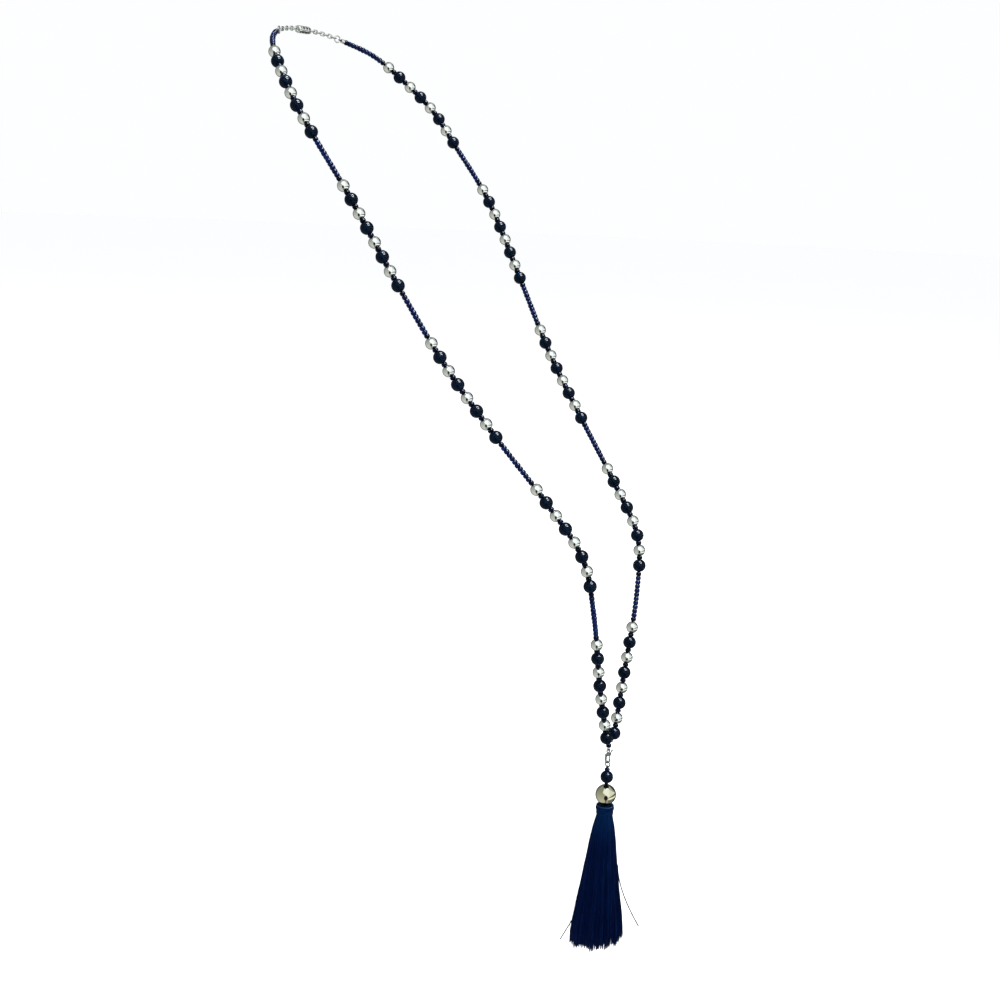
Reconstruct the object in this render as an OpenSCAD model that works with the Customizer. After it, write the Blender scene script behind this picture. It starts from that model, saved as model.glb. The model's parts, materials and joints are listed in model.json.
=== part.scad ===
// A long beaded necklace with a tassel drop, in the form it takes when worn.
// Millimetres. +Z is up, the wearer faces -Y and +X is the wearer's left side.
// The origin is the middle of the back of the neck, on the strand's own line.

/* [Strand] */
// Diameter of a round stone bead
stone_d = 6.4; // [5.4:0.1:6.8]
// Diameter of a round metal bead
metal_d = 5.9; // [5:0.1:6.3]
// Diameter of the hole through a round bead
bead_bore = 1.3; // [1.2:0.05:1.8]
// Bare thread between two round beads, filled by one seed bead
bead_gap = 1.4; // [1.2:0.1:1.7]
// Bare thread before the first stone bead of each half
first_gap = 0.8; // [0.6:0.1:1.4]
// Pairs of a stone and a metal bead in one group
pairs = 4; // [2:1:4]
// Groups of beads on each side of the strand
groups = 5; // [3:1:5]
// Length of each run of seed beads between two groups
run_l = 24.6; // [18:0.2:26]
// Diameter of a seed bead
seed_d = 2.6; // [2.2:0.1:2.9]
// Diameter of the hole through a seed bead
seed_bore = 1; // [0.8:0.05:1.2]
// Diameter of the thread
thread_d = 0.4; // [0.3:0.05:0.5]

/* [Back closure] */
// Length of the crimp that holds each end of the thread
crimp_l = 2; // [1.5:0.1:2.5]
// Diameter of a crimp
crimp_d = 2.2; // [1.9:0.1:2.6]
// Outer diameter of the ring at each end of the strand
end_ring_d = 4; // [3.6:0.1:4.6]
// Wire of that ring
end_ring_wire = 0.7; // [0.6:0.05:0.8]
// Length that a chain link aims at, between the middles of its ends
link_l = 3.3; // [2.8:0.1:3.8]
// Width of a chain link, between the middles of its sides
link_w = 1.8; // [1.7:0.05:2.2]
// Wire of a chain link
link_wire = 0.6; // [0.5:0.05:0.6]
// Length of the back clasp's barrel
barrel_l = 9; // [7:0.5:11]
// Diameter of the barrel
barrel_d = 3.8; // [3:0.1:4.5]
// Rounding of the barrel's two ends
barrel_round = 0.8; // [0.5:0.1:1.2]
// Outer diameter of the eye at each end of the barrel
barrel_eye_d = 3.1; // [2.9:0.1:3.5]
// Wire of those eyes
barrel_eye_wire = 0.7; // [0.6:0.05:0.8]

/* [Front clasp] */
// Turn of the clasp and its ring about the vertical, towards the wearer's right
front_turn = 20; // [-30:1:45]
// Length of the joining seed bead that both halves of the thread pass through
join_seed_l = 1.8; // [1.5:0.1:2.2]
// Length of the clasp, from the wire of its eye to the wire of its claw
clasp_l = 7; // [6.8:0.1:8]
// Inner diameter of the clasp's eye
clasp_eye_bore = 1.1; // [1.1:0.05:1.3]
// Wire of the clasp's eye
clasp_eye_wire = 0.7; // [0.6:0.05:0.75]
// Width of the claw, between the middles of its two sides
claw_w = 2.7; // [2.5:0.1:3.2]
// Wire of the claw
claw_wire = 0.9; // [0.8:0.05:1]
// Height of the clasp's head, which the lever turns in
head_h = 1.6; // [1.5:0.05:1.7]
// Thickness of the lever
lever_t = 0.64; // [0.55:0.01:0.7]
// Length of the lever's thumb tab from its pin
tab_l = 2.1; // [1.8:0.1:2.6]
// Lean of the thumb tab, away from the claw
tab_lean = 42; // [36:1:50]
// Wall of the lever round its pin
hub_wall = 0.33; // [0.3:0.01:0.36]
// Diameter of the lever's pin
pin_d = 0.44; // [0.4:0.02:0.5]
// Outer diameter of the jump ring that the drop hangs from
jump_ring_d = 3.6; // [3.4:0.1:4.2]
// Wire of the jump ring
jump_ring_wire = 0.6; // [0.5:0.05:0.7]

/* [Drop] */
// Length of the seed bead over the drop's stone bead
top_seed_l = 1.3; // [1:0.1:1.8]
// Length of the small seed bead under the drop's stone bead
low_seed_l = 0.7; // [0.6:0.1:1.2]
// Diameter of that small seed bead
low_seed_d = 1.8; // [1.6:0.1:2.2]
// Diameter of the drop's large metal bead
large_d = 10.4; // [8:0.2:12]
// Diameter of the tassel's head at its top
cap_d = 8.8; // [7:0.2:9.2]
// Diameter of the tassel's head at its rim
cap_rim_d = 9.2; // [8.8:0.2:10]
// Height of the tassel's head
cap_h = 5.2; // [4:0.2:6]
// Diameter of the tassel under its head
neck_d = 8.2; // [7:0.2:9]
// Length of the tassel's skirt
skirt_l = 66.6; // [50:0.2:90]
// Diameter of the skirt at its cut ends
skirt_d = 26; // [20:0.5:32]
// Depth of the hollow between two locks at the ends
lock_depth = 1.3; // [0.6:0.1:2]
// Depth of the notch between two locks' cut ends
notch = 1.5; // [0.5:0.1:3]
// Most that one lock is cut shorter or longer than the rest
cut_play = 1.2; // [0.5:0.1:3]
// How much longer the slanted cut leaves the skirt at its longest side
slant = 1.8; // [0:0.1:3]
// How far the skirt's ends hang towards that side
lean = 0.6; // [0:0.1:2]

/* [Clearances] */
// Gap between two pieces that lie one against the other
seat = 0.05; // [0.03:0.01:0.1]
// Gap between a ring or a loop of thread and the wire that it hangs on
play = 0.15; // [0.1:0.01:0.2]
// Gap round a thread leg in a bead's hole, and round the lever's pin
slip = 0.05; // [0.04:0.01:0.08]
// Drop from the strand's first point to the middle of the joining seed bead
join_drop = 1.5; // [1.2:0.1:2]
// How far behind the strand's first point that bead hangs
join_back = 0.7; // [0:0.1:1]

/* [Hidden] */

// Chosen points of the strand's left half, from the join in front to the nape
ROUTE = [
  [3, -197, -338.5], [13, -196, -307], [23, -195.5, -269], [29.5, -191, -240.5],
  [35, -173.5, -216], [42.5, -149.5, -187.5], [49.5, -125.5, -157], [56.5, -102, -121],
  [62, -77.5, -82], [62, -54, -52.5], [60.5, -41, -36], [52, -25.5, -20],
  [42.5, -14.5, -9.5], [28.5, -5.5, -3.5], [14, -1, -0.5], [0, 0, 0]];

// Head outline: share of the way from the neck's radius to the rim's, share of the way down
HEAD = [[1, 0.38], [0.25, 0.48], [0, 1]];

// Skirt outline: share of the way down, share of the way from the neck's radius to the full one.
// The last row is the hollow under the cut ends.
SKIRT = [[0.05, 0.09], [0.1, 0.17], [0.17, 0.265], [0.26, 0.345], [0.36, 0.425], [0.45, 0.54],
  [0.55, 0.62], [0.65, 0.745], [0.75, 0.85], [0.82, 0.95], [0.9, 1], [1, 1.01], [0.985, 0.7]];
UNDERSIDE = 0.94;     // share of the skirt's length at the middle of its underside
LONG_SIDE = 120;      // turn of the skirt's longest side about the vertical, from +X

CURVE_STEPS = 8;      // straight steps that a span of the route is drawn in
ROPE_SIDES = 8;       // sides of the thread and of the seed runs
RUN_RINGS = 4;        // rings of one seed run
LOCKS = 16;           // locks round the tassel
LOCK_STEPS = 6;       // points across one lock
BALL_FN = 48;         // roundness of beads, rings and the barrel
WIRE_FN = 16;         // roundness of wire
HOLE_FN = 24;         // roundness of holes, pins and seed beads
DIAGONAL = cos(45);

thread_r = thread_d / 2;
wrap = thread_r + play;                 // from a wire's surface to the line of a thread round it
leg = thread_r + 2 * slip;              // half the distance between two legs of the thread
two_leg_bore = 2 * (leg + thread_r) + 6 * slip;   // hole that both legs pass through

// Small vector helpers
function unit(v) = v / norm(v);
function flip(p) = [-p.x, p.y, p.z];
function backwards(v) = [for (i = [len(v) - 1 : -1 : 0]) v[i]];
function sums(v, i = 0, s = 0) = i == len(v) ? [s] : concat([s], sums(v, i + 1, s + v[i]));

// A smooth curve through the route, drawn in short steps
function bend(a, b, c, d, t) =
  0.5 * (2 * b + (c - a) * t + (2 * a - 5 * b + 4 * c - d) * t * t + (3 * b - a - 3 * c + d) * t * t * t);
route_ends = concat([2 * ROUTE[0] - ROUTE[1]], ROUTE, [flip(ROUTE[len(ROUTE) - 2])]);
curve = concat([for (i = [1 : len(route_ends) - 3], k = [0 : CURVE_STEPS - 1])
  bend(route_ends[i - 1], route_ends[i], route_ends[i + 1], route_ends[i + 2], k / CURVE_STEPS)],
  [ROUTE[len(ROUTE) - 1]]);
curve_s = sums([for (i = [1 : len(curve) - 1]) norm(curve[i] - curve[i - 1])]);
half_l = curve_s[len(curve_s) - 1];
curve_x = [for (i = [0 : len(curve) - 1]) [curve_s[i], curve[i].x]];
curve_y = [for (i = [0 : len(curve) - 1]) [curve_s[i], curve[i].y]];
curve_z = [for (i = [0 : len(curve) - 1]) [curve_s[i], curve[i].z]];
function at(s) = [lookup(s, curve_x), lookup(s, curve_y), lookup(s, curve_z)];
function along(s) = unit(at(s + 0.5) - at(s - 0.5));
function across(s) = unit(cross(along(s), [0, 0, 1]));

// Places on the strand, as lengths along it from the route's first point
bead_step = stone_d / 2 + bead_gap + metal_d / 2;
group_pitch = (2 * pairs - 1) * bead_step + metal_d / 2 + run_l + stone_d / 2;
function stone_s(g, i) = stone_d / 2 + first_gap + g * group_pitch + 2 * i * bead_step;
function metal_s(g, i) = stone_s(g, i) + bead_step;
function run_s(g) = metal_s(g, pairs - 1) + metal_d / 2;
crimp_s = run_s(groups - 1) + run_l + crimp_l / 2 + 2 * seat;
end_wrap = end_ring_wire / 2 + wrap;
ring_near_s = crimp_s + crimp_l / 2 + end_wrap + play;
ring_far_s = ring_near_s + end_ring_d - end_ring_wire;
eye_reach = barrel_l / 2 + barrel_eye_d - 1.5 * barrel_eye_wire;
eye_s = half_l - eye_reach;

// The chain's links share the way from the end ring to the clasp's eye
link_lap = link_wire + play;
first_lap = (end_ring_wire + link_wire) / 2 + play;
last_lap = (barrel_eye_wire + link_wire) / 2 + play;
chain_span = eye_s - ring_far_s + first_lap + last_lap;
links = 2 * max(0, round(((chain_span - link_lap) / (link_l - link_lap) - 1) / 2)) + 1;
link_mean = (chain_span + (links - 1) * link_lap) / links;
function link_s(i) = ring_far_s - first_lap + link_mean / 2 + i * (link_mean - link_lap);

// Heights of the clasp and the drop, from the joining seed bead down
join = [0, ROUTE[0].y + join_back, ROUTE[0].z - join_drop];
// A point of the clasp and the thread round it, from its place before the turn
function faced(x, y, z) =
  [x * cos(front_turn) + y * sin(front_turn), join.y + y * cos(front_turn) - x * sin(front_turn), z];
eye_r = (clasp_eye_bore + clasp_eye_wire) / 2;
eye_wrap = clasp_eye_wire / 2 + wrap;
eye_wire_z = join.z - join_seed_l / 2 - eye_wrap - 2 * play;
claw_wire_z = eye_wire_z - clasp_l;
claw_z = claw_wire_z + claw_w / 2;
pin_x = claw_w / 2 - play;
head_top_z = eye_wire_z - 2 * eye_r - clasp_eye_wire / 4;
pin_z = head_top_z - head_h / 2;
ring_top_z = claw_wire_z + (claw_wire + jump_ring_wire) / 2 + seat;
ring_r = (jump_ring_d - jump_ring_wire) / 2;
ring_low_z = ring_top_z - 2 * ring_r;
drop_wrap = jump_ring_wire / 2 + wrap;
top_seed_z = ring_low_z - drop_wrap - top_seed_l / 2;
drop_stone_z = top_seed_z - top_seed_l / 2 - seat - stone_d / 2;
low_seed_z = drop_stone_z - stone_d / 2 - seat - low_seed_l / 2;
large_z = low_seed_z - low_seed_l / 2 - seat - large_d / 2;
cap_z = large_z - large_d / 2 - 3 * seat;
knot_z = cap_z - cap_h / 2;

// A tube of rings round a list of points, each ring square to the path
function headings(p) = [for (i = [0 : len(p) - 1]) unit(p[min(i + 1, len(p) - 1)] - p[max(i - 1, 0)])];
function carried(t, u, i = 0) = i == len(t) ? [] :
  let (v = unit(u - (u * t[i]) * t[i])) concat([v], carried(t, v, i + 1));
function rings(p, r, sides) =
  let (t = headings(p), u = carried(t, [0.31, 0.93, 0.19]))
  [for (i = [0 : len(p) - 1], k = [0 : sides - 1])
    p[i] + r * (cos(360 * k / sides) * u[i] + sin(360 * k / sides) * cross(t[i], u[i]))];
// Triangles between ring a and ring b of m points, seen clockwise from outside
function band(a, b, m) = [for (k = [0 : m - 1]) let (n = (k + 1) % m)
  each [[a * m + k, b * m + k, b * m + n], [a * m + k, b * m + n, a * m + n]]];

module rope(p, r, sides) {
  n = len(p);
  polyhedron(rings(p, r, sides), concat(
    [[for (k = [0 : sides - 1]) k]],
    [for (i = [0 : n - 2]) each band(i, i + 1, sides)],
    [[for (k = [sides - 1 : -1 : 0]) (n - 1) * sides + k]]));
}

module hollow_rope(p, r, bore_r, sides) {
  n = len(p);
  polyhedron(concat(rings(p, r, sides), rings(p, bore_r, sides)), concat(
    [for (i = [0 : n - 2]) each band(i, i + 1, sides)],
    [for (i = [0 : n - 2]) each band(n + i + 1, n + i, sides)],
    band(n, 0, sides),
    band(n - 1, 2 * n - 1, sides)));
}

// Places its children on the left half of the strand, with Z along it
module on_strand(s) {
  t = along(s);
  a = across(s);
  b = cross(t, a);
  p = at(s);
  multmatrix([[a.x, b.x, t.x, p.x], [a.y, b.y, t.y, p.y], [a.z, b.z, t.z, p.z]]) children();
}

module both_sides() {
  children();
  mirror([1, 0, 0]) children();
}

module ball(d, bore) {
  difference() {
    sphere(d = d, $fn = BALL_FN);
    cylinder(d = bore, h = d + 1, center = true, $fn = HOLE_FN);
  }
}

// A short bead with rounded shoulders, its hole along Z
module seed(d, l, bore) {
  r = l / 4;
  rotate_extrude($fn = HOLE_FN) difference() {
    union() {
      translate([0, -l / 2]) square([d / 2 - r, l]);
      translate([0, -l / 2 + r]) square([d / 2, l - 2 * r]);
      for (z = [-l / 2 + r, l / 2 - r]) translate([d / 2 - r, z]) circle(r, $fn = WIRE_FN);
    }
    translate([-1, -l]) square([1 + bore / 2, 2 * l]);
  }
}

// A ring of round wire in the XZ plane
module wire_ring(r, wire) {
  rotate([90, 0, 0]) rotate_extrude($fn = BALL_FN) translate([r, 0]) circle(d = wire, $fn = WIRE_FN);
}

// An oval chain link in the XZ plane, its length along Z
module oval_link(l, w, wire) {
  straight = l - w;
  for (side = [1, -1]) {
    translate([0, 0, side * straight / 2]) rotate([90 * side, 0, 0])
      rotate_extrude(angle = 180, $fn = BALL_FN) translate([w / 2, 0]) circle(d = wire, $fn = WIRE_FN);
    translate([side * w / 2, 0, 0]) cylinder(d = wire, h = straight, center = true, $fn = WIRE_FN);
  }
}

// The thread's left half, from its loop round the clasp's eye to its loop round the end ring
function back_loop() =
  let (t = along(ring_near_s), a = across(ring_near_s), c = at(ring_near_s), w = end_wrap)
  [c - w * t + leg * a, c + w * a, c + DIAGONAL * w * (a + t), c + w * t,
    c + DIAGONAL * w * (t - a), c - w * a,
    at(crimp_s + crimp_l / 2) - leg * a, at(crimp_s - crimp_l / 4) - leg * a];
function group_line(g) = concat(
  [for (i = [0 : pairs - 1]) each [at(stone_s(g, i)), at(metal_s(g, i))]],
  [for (k = [1 : RUN_RINGS - 2]) at(run_s(g) + run_l * k / (RUN_RINGS - 1))]);
half_thread = concat(
  [faced(0, eye_wrap, eye_wire_z), faced(0, leg, join.z - join_seed_l / 2),
    faced(0, leg, join.z + join_seed_l / 2), at(seat)],
  [for (g = [0 : groups - 1]) each group_line(g)],
  [at(crimp_s - crimp_l), at(crimp_s) + leg * across(crimp_s)],
  back_loop());
function front_side(p) = [-p.x, 2 * join.y - p.y, p.z];
// The right half is the mirror of the left, but its leg in the join lies in front
JOIN_POINTS = 3;
right_thread = [for (i = [0 : len(half_thread) - 1])
  i < JOIN_POINTS ? front_side(half_thread[i]) : flip(half_thread[i])];

module thread() {
  w = eye_wrap;
  d = DIAGONAL * eye_wrap;
  color("midnightblue") rope(concat(
    backwards(right_thread),
    [faced(0, -d, eye_wire_z - d), faced(0, 0, eye_wire_z - w), faced(0, d, eye_wire_z - d)],
    half_thread), thread_r, ROPE_SIDES);
}

module stone_beads() {
  color("#0b0e1c") both_sides()
    for (g = [0 : groups - 1], i = [0 : pairs - 1]) on_strand(stone_s(g, i)) ball(stone_d, bead_bore);
}

module metal_beads() {
  color("#d8d2c0") both_sides()
    for (g = [0 : groups - 1], i = [0 : pairs - 1]) on_strand(metal_s(g, i)) ball(metal_d, bead_bore);
}

// One run of seed beads, as the sleeve that they form together
module seed_run(g) {
  first = run_s(g) + 2 * seat;
  last = run_s(g) + run_l - 2 * seat;
  hollow_rope([for (i = [0 : RUN_RINGS - 1]) at(first + (last - first) * i / (RUN_RINGS - 1))],
    seed_d / 2, seed_bore / 2, ROPE_SIDES);
}

module seed_runs() {
  color("#1b2266") both_sides()
    for (g = [0 : groups - 1]) seed_run(g);
}

module end_crimps() {
  color("silver") both_sides()
    on_strand(crimp_s) seed(crimp_d, crimp_l, 4 * leg);
}

module back_chain() {
  color("silver") both_sides() {
    on_strand((ring_near_s + ring_far_s) / 2) rotate([0, 0, 90])
      wire_ring((end_ring_d - end_ring_wire) / 2, end_ring_wire);
    for (i = [0 : links - 1])
      on_strand(link_s(i)) rotate([0, 0, 90 * (i % 2)]) oval_link(link_mean, link_w, link_wire);
  }
}

// The barrel lies along X, with its two eyes upright
module back_clasp() {
  end_r = barrel_d / 2 - barrel_round;
  half = barrel_l / 2 - barrel_round;
  color("silver") {
    rotate([0, 90, 0]) rotate_extrude($fn = BALL_FN) {
      translate([0, -barrel_l / 2]) square([end_r, barrel_l]);
      translate([0, -half]) square([barrel_d / 2, 2 * half]);
      for (z = [-half, half]) translate([end_r, z]) circle(barrel_round, $fn = WIRE_FN);
    }
    for (side = [1, -1])
      translate([side * (eye_reach - (barrel_eye_d - barrel_eye_wire) / 2), 0, 0])
        wire_ring((barrel_eye_d - barrel_eye_wire) / 2, barrel_eye_wire);
  }
}

module join_seed_bead() {
  color("#0b0e1c") translate(join) seed(seed_d, join_seed_l, two_leg_bore);
}

// Turns its children, made in the XZ plane, to the way that the clasp faces
module turned_front(x, z) {
  translate(faced(x, 0, z)) rotate([0, 0, -front_turn]) children();
}

// The clasp's eye, head and claw all lie in one upright plane
module front_clasp() {
  cheek = head_h / 2;
  cheek_x = -claw_w / 2 + 2 * play;
  slot = lever_t + 4 * slip;
  color("silver") turned_front(0, 0) {
    translate([0, 0, eye_wire_z - eye_r]) wire_ring(eye_r, clasp_eye_wire);
    translate([0, 0, pin_z]) cylinder(d = claw_wire, h = eye_wire_z - 2 * eye_r - pin_z, $fn = HOLE_FN);
    difference() {
      union() {
        translate([cheek_x, 0, pin_z]) rotate([0, 90, 0])
          cylinder(r = cheek, h = pin_x - cheek_x, $fn = HOLE_FN);
        for (x = [cheek_x, pin_x]) translate([x, 0, pin_z]) sphere(r = cheek, $fn = BALL_FN);
      }
      translate([claw_wire / 2, -slot / 2, pin_z - head_h]) cube([claw_w, slot, 2 * head_h]);
    }
    translate([pin_x, 0, pin_z]) rotate([90, 0, 0])
      cylinder(d = pin_d, h = head_h - 2 * play, center = true, $fn = HOLE_FN);
    translate([-claw_w / 2, 0, claw_z]) cylinder(d = claw_wire, h = pin_z - claw_z, $fn = HOLE_FN);
    translate([0, 0, claw_z]) rotate([-90, 0, 0]) rotate_extrude(angle = 180, $fn = BALL_FN)
      translate([claw_w / 2, 0]) circle(d = claw_wire, $fn = HOLE_FN);
  }
}

// The lever closes the claw's mouth and turns on its pin, with a thumb tab
module clasp_lever() {
  hub_r = pin_d / 2 + hub_wall;
  arm_l = pin_z - claw_z - 2 * seat;
  color("gainsboro") turned_front(pin_x, pin_z) {
    difference() {
      union() {
        rotate([90, 0, 0]) cylinder(r = hub_r, h = lever_t, center = true, $fn = HOLE_FN);
        translate([0, 0, -arm_l]) cylinder(d = lever_t, h = arm_l, $fn = HOLE_FN);
        rotate([0, tab_lean, 0]) cylinder(d = lever_t - 2 * slip, h = tab_l, $fn = HOLE_FN);
      }
      rotate([90, 0, 0]) cylinder(d = pin_d + 2 * slip, h = 2 * lever_t, center = true, $fn = HOLE_FN);
    }
    rotate([0, tab_lean, 0]) translate([0, 0, tab_l]) sphere(d = lever_t + play, $fn = BALL_FN);
  }
}

module jump_ring() {
  color("silver") turned_front(0, ring_top_z - ring_r) rotate([0, 0, 90])
    wire_ring(ring_r, jump_ring_wire);
}

// Both legs of the drop's thread, from inside the tassel's head round the jump ring
module drop_thread() {
  w = drop_wrap;
  d = DIAGONAL * drop_wrap;
  side = [[leg, knot_z], [leg, low_seed_z], [leg, top_seed_z], [w, ring_low_z], [d, ring_low_z + d]];
  line = concat(side, [[0, ring_low_z + w]], [for (p = backwards(side)) [-p.x, p.y]]);
  color("midnightblue") rope([for (p = line) faced(p.x, 0, p.y)], thread_r, ROPE_SIDES);
}

module drop_seed_beads() {
  color("#0b0e1c") {
    translate([0, join.y, top_seed_z]) seed(seed_d, top_seed_l, two_leg_bore);
    translate([0, join.y, low_seed_z]) seed(low_seed_d, low_seed_l, two_leg_bore);
  }
}

module drop_stone_bead() {
  color("#0b0e1c") translate([0, join.y, drop_stone_z]) ball(stone_d, two_leg_bore);
}

module drop_metal_bead() {
  color("#d8d2c0") translate([0, join.y, large_z]) ball(large_d, two_leg_bore);
}

// How far a lock's cut end lies over or under the mean, from its number
function cut(k) = cut_play * sin(137 * k + 20) * cos(61 * k);

// How far a skirt that leans lies aside, a share of the way down
function aside(down) = lean * (1 - pow(1 - down, 2));

// Rows of radius and height: the head's hole and outline, then the skirt with its locks
module tassel() {
  m = LOCKS * LOCK_STEPS;
  foot_z = cap_z - cap_h;
  neck_r = neck_d / 2;
  edge = 2 * play;
  head = concat(
    [[two_leg_bore / 2, knot_z - edge], [two_leg_bore / 2, cap_z], [cap_d / 2 - edge, cap_z],
      [cap_d / 2, cap_z - edge]],
    [for (row = HEAD) [neck_r + row[0] * (cap_rim_d / 2 - neck_r), cap_z - row[1] * cap_h]]);
  function turn(j) = 360 * j / m;
  function hump(j) = abs(sin(180 * j / LOCK_STEPS));
  function head_ring(row) = [for (j = [0 : m - 1])
    [row[0] * cos(turn(j)), join.y + row[0] * sin(turn(j)), row[1]]];
  // One ring of the skirt, a share down and a share of the full radius
  function skirt_ring(down, out) = [for (j = [0 : m - 1])
    let (low = hump(j),
      r = neck_r + (skirt_d / 2 - neck_r) * out - lock_depth * down * (1 - low),
      l = skirt_l + slant * cos(turn(j) - LONG_SIDE)
        + cut(floor(j / LOCK_STEPS)) * low - notch * (1 - low))
    [r * cos(turn(j)) + aside(down) * cos(LONG_SIDE),
      join.y + r * sin(turn(j)) + aside(down) * sin(LONG_SIDE), foot_z - l * down]];
  rows = concat([for (row = head) head_ring(row)], [for (row = SKIRT) skirt_ring(row[0], row[1])]);
  n = len(rows);
  points = concat([for (row = rows) each row],
    [[0, join.y, head[0][1]],
      [lean * cos(LONG_SIDE), join.y + lean * sin(LONG_SIDE), foot_z - UNDERSIDE * skirt_l]]);
  color("#0a1a3c") polyhedron(points, concat(
    [for (k = [0 : m - 1]) [n * m, (k + 1) % m, k]],
    [for (i = [0 : n - 2]) each band(i + 1, i, m)],
    [for (k = [0 : m - 1]) [n * m + 1, (n - 1) * m + k, (n - 1) * m + (k + 1) % m]]));
}

thread();
stone_beads();
metal_beads();
seed_runs();
end_crimps();
back_chain();
back_clasp();
join_seed_bead();
front_clasp();
clasp_lever();
jump_ring();
drop_thread();
drop_seed_beads();
drop_stone_bead();
drop_metal_bead();
tassel();
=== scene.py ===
"""The looks of a long tassel necklace in its worn form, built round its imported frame.

Metres, +Z up. The wearer faces -Y and +X is the wearer's left. The origin is the middle
of the back of the neck, on the strand's own line.
"""

import json
import logging
import math
from contextlib import contextmanager
from dataclasses import dataclass, field
from enum import Enum
from itertools import product
from typing import Any, Callable, Iterator, Mapping, Optional, Sequence

import bmesh
import bpy
import numpy as np
from mathutils import Matrix, Vector

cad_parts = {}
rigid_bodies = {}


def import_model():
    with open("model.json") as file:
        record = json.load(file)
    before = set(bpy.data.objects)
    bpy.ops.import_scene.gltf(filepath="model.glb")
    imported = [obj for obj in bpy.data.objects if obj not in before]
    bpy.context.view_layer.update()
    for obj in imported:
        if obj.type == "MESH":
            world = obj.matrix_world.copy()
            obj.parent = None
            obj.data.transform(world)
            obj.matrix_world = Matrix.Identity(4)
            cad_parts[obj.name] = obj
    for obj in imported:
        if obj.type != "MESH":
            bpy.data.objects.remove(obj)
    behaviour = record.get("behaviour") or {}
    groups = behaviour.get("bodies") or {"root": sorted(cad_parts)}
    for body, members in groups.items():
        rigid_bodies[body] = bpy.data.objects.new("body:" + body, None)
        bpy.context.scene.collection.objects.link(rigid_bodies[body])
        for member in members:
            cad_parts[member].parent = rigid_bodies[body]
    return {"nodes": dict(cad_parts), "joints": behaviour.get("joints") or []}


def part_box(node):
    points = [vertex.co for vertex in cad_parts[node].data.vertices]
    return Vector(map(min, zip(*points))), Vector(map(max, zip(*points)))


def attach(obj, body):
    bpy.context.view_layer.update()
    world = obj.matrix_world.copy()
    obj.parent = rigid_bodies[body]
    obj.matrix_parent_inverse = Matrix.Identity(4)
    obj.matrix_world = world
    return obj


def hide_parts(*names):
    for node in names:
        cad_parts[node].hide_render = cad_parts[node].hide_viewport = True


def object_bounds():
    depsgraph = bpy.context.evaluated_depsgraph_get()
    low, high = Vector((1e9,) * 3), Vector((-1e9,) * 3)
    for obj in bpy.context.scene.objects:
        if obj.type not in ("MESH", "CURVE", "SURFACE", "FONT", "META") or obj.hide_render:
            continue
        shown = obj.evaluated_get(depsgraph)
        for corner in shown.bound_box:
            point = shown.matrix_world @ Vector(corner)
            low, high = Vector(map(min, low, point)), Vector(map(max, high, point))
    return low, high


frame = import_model()
CAD_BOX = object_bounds()

LOG = logging.getLogger("tassel_necklace")
MM = 0.001
TINY = 1e-6
FULL_TURN = 2 * math.pi
SIDES = (1, -1)
# Edges sharper than these, in degrees, stay edges when a piece is smoothed
GROOVE_ANGLE = 30
SOFT_ANGLE = 42
ROUND_ANGLE = 50
CAST_ANGLE = 60
# Share of a bead's radius over which the wear at its hole fades
HOLE_FADE = 0.35
# Share of the hole's radius that its rim rounds off
RIM_SHARE = 0.22
CHANCE_START = 23
Piece = bpy.types.Object
Colour = tuple[float, float, float]


class Body(Enum):
    """The bodies of the frame that pieces ride on."""

    STRAND = "strand"
    LEVER = "lever"
    RING = "ring"
    DROP = "drop"


class Slot(Enum):
    """The record's material slots."""

    THREAD = "thread"
    STONE = "navy_stone"
    METAL = "bright_metal"
    COBALT = "cobalt_seed"
    DARK_SEED = "dark_seed"
    FINDING = "silver_finding"
    SILK = "tassel_silk"


class Pick(Enum):
    """What an edit selects."""

    POINTS = "VERT"
    EDGES = "EDGE"
    FACES = "FACE"


# Bench: operators on selected shapes


def take(*things: Piece) -> None:
    """Selects only these objects, in object mode, and makes the first one active.

    Args:
        things: The objects to select.
    """
    active = bpy.context.view_layer.objects.active
    if active is not None and active.mode != "OBJECT":
        bpy.ops.object.mode_set(mode="OBJECT")
    bpy.ops.object.select_all(action="DESELECT")
    for thing in things:
        thing.select_set(True)
    if things:
        bpy.context.view_layer.objects.active = things[0]


@contextmanager
def editing(thing: Piece, kind: Pick = Pick.POINTS) -> Iterator[None]:
    """Holds one object in edit mode with nothing selected.

    Args:
        thing: The object to edit.
        kind: What the selections in this edit hold.

    Yields:
        Nothing. The object is back in object mode afterwards.
    """
    take(thing)
    bpy.ops.object.mode_set(mode="EDIT")
    bpy.ops.mesh.select_mode(type=kind.value)
    bpy.ops.mesh.select_all(action="DESELECT")
    try:
        yield
    finally:
        bpy.ops.object.mode_set(mode="OBJECT")


def pick(thing: Piece, test: Callable[[Vector], bool], kind: Pick = Pick.POINTS) -> None:
    """Selects, in edit mode, the elements whose points all pass a test of their place.

    Args:
        thing: The object in edit mode.
        test: True for a place that belongs to the selection.
        kind: Whether points, edges or faces are selected.
    """
    bpy.ops.mesh.select_all(action="DESELECT")
    shape = bmesh.from_edit_mesh(thing.data)
    elements = {Pick.POINTS: shape.verts, Pick.EDGES: shape.edges, Pick.FACES: shape.faces}[kind]
    for element in elements:
        points = [element] if kind is Pick.POINTS else element.verts
        if all(test(point.co) for point in points):
            element.select_set(True)
    bmesh.update_edit_mesh(thing.data)


def fresh(name: str) -> Piece:
    """Names the primitive that was just added.

    Args:
        name: The name of the new piece.

    Returns:
        The new object.
    """
    thing = bpy.context.object
    thing.name = name
    thing.data.name = name
    return thing


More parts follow.
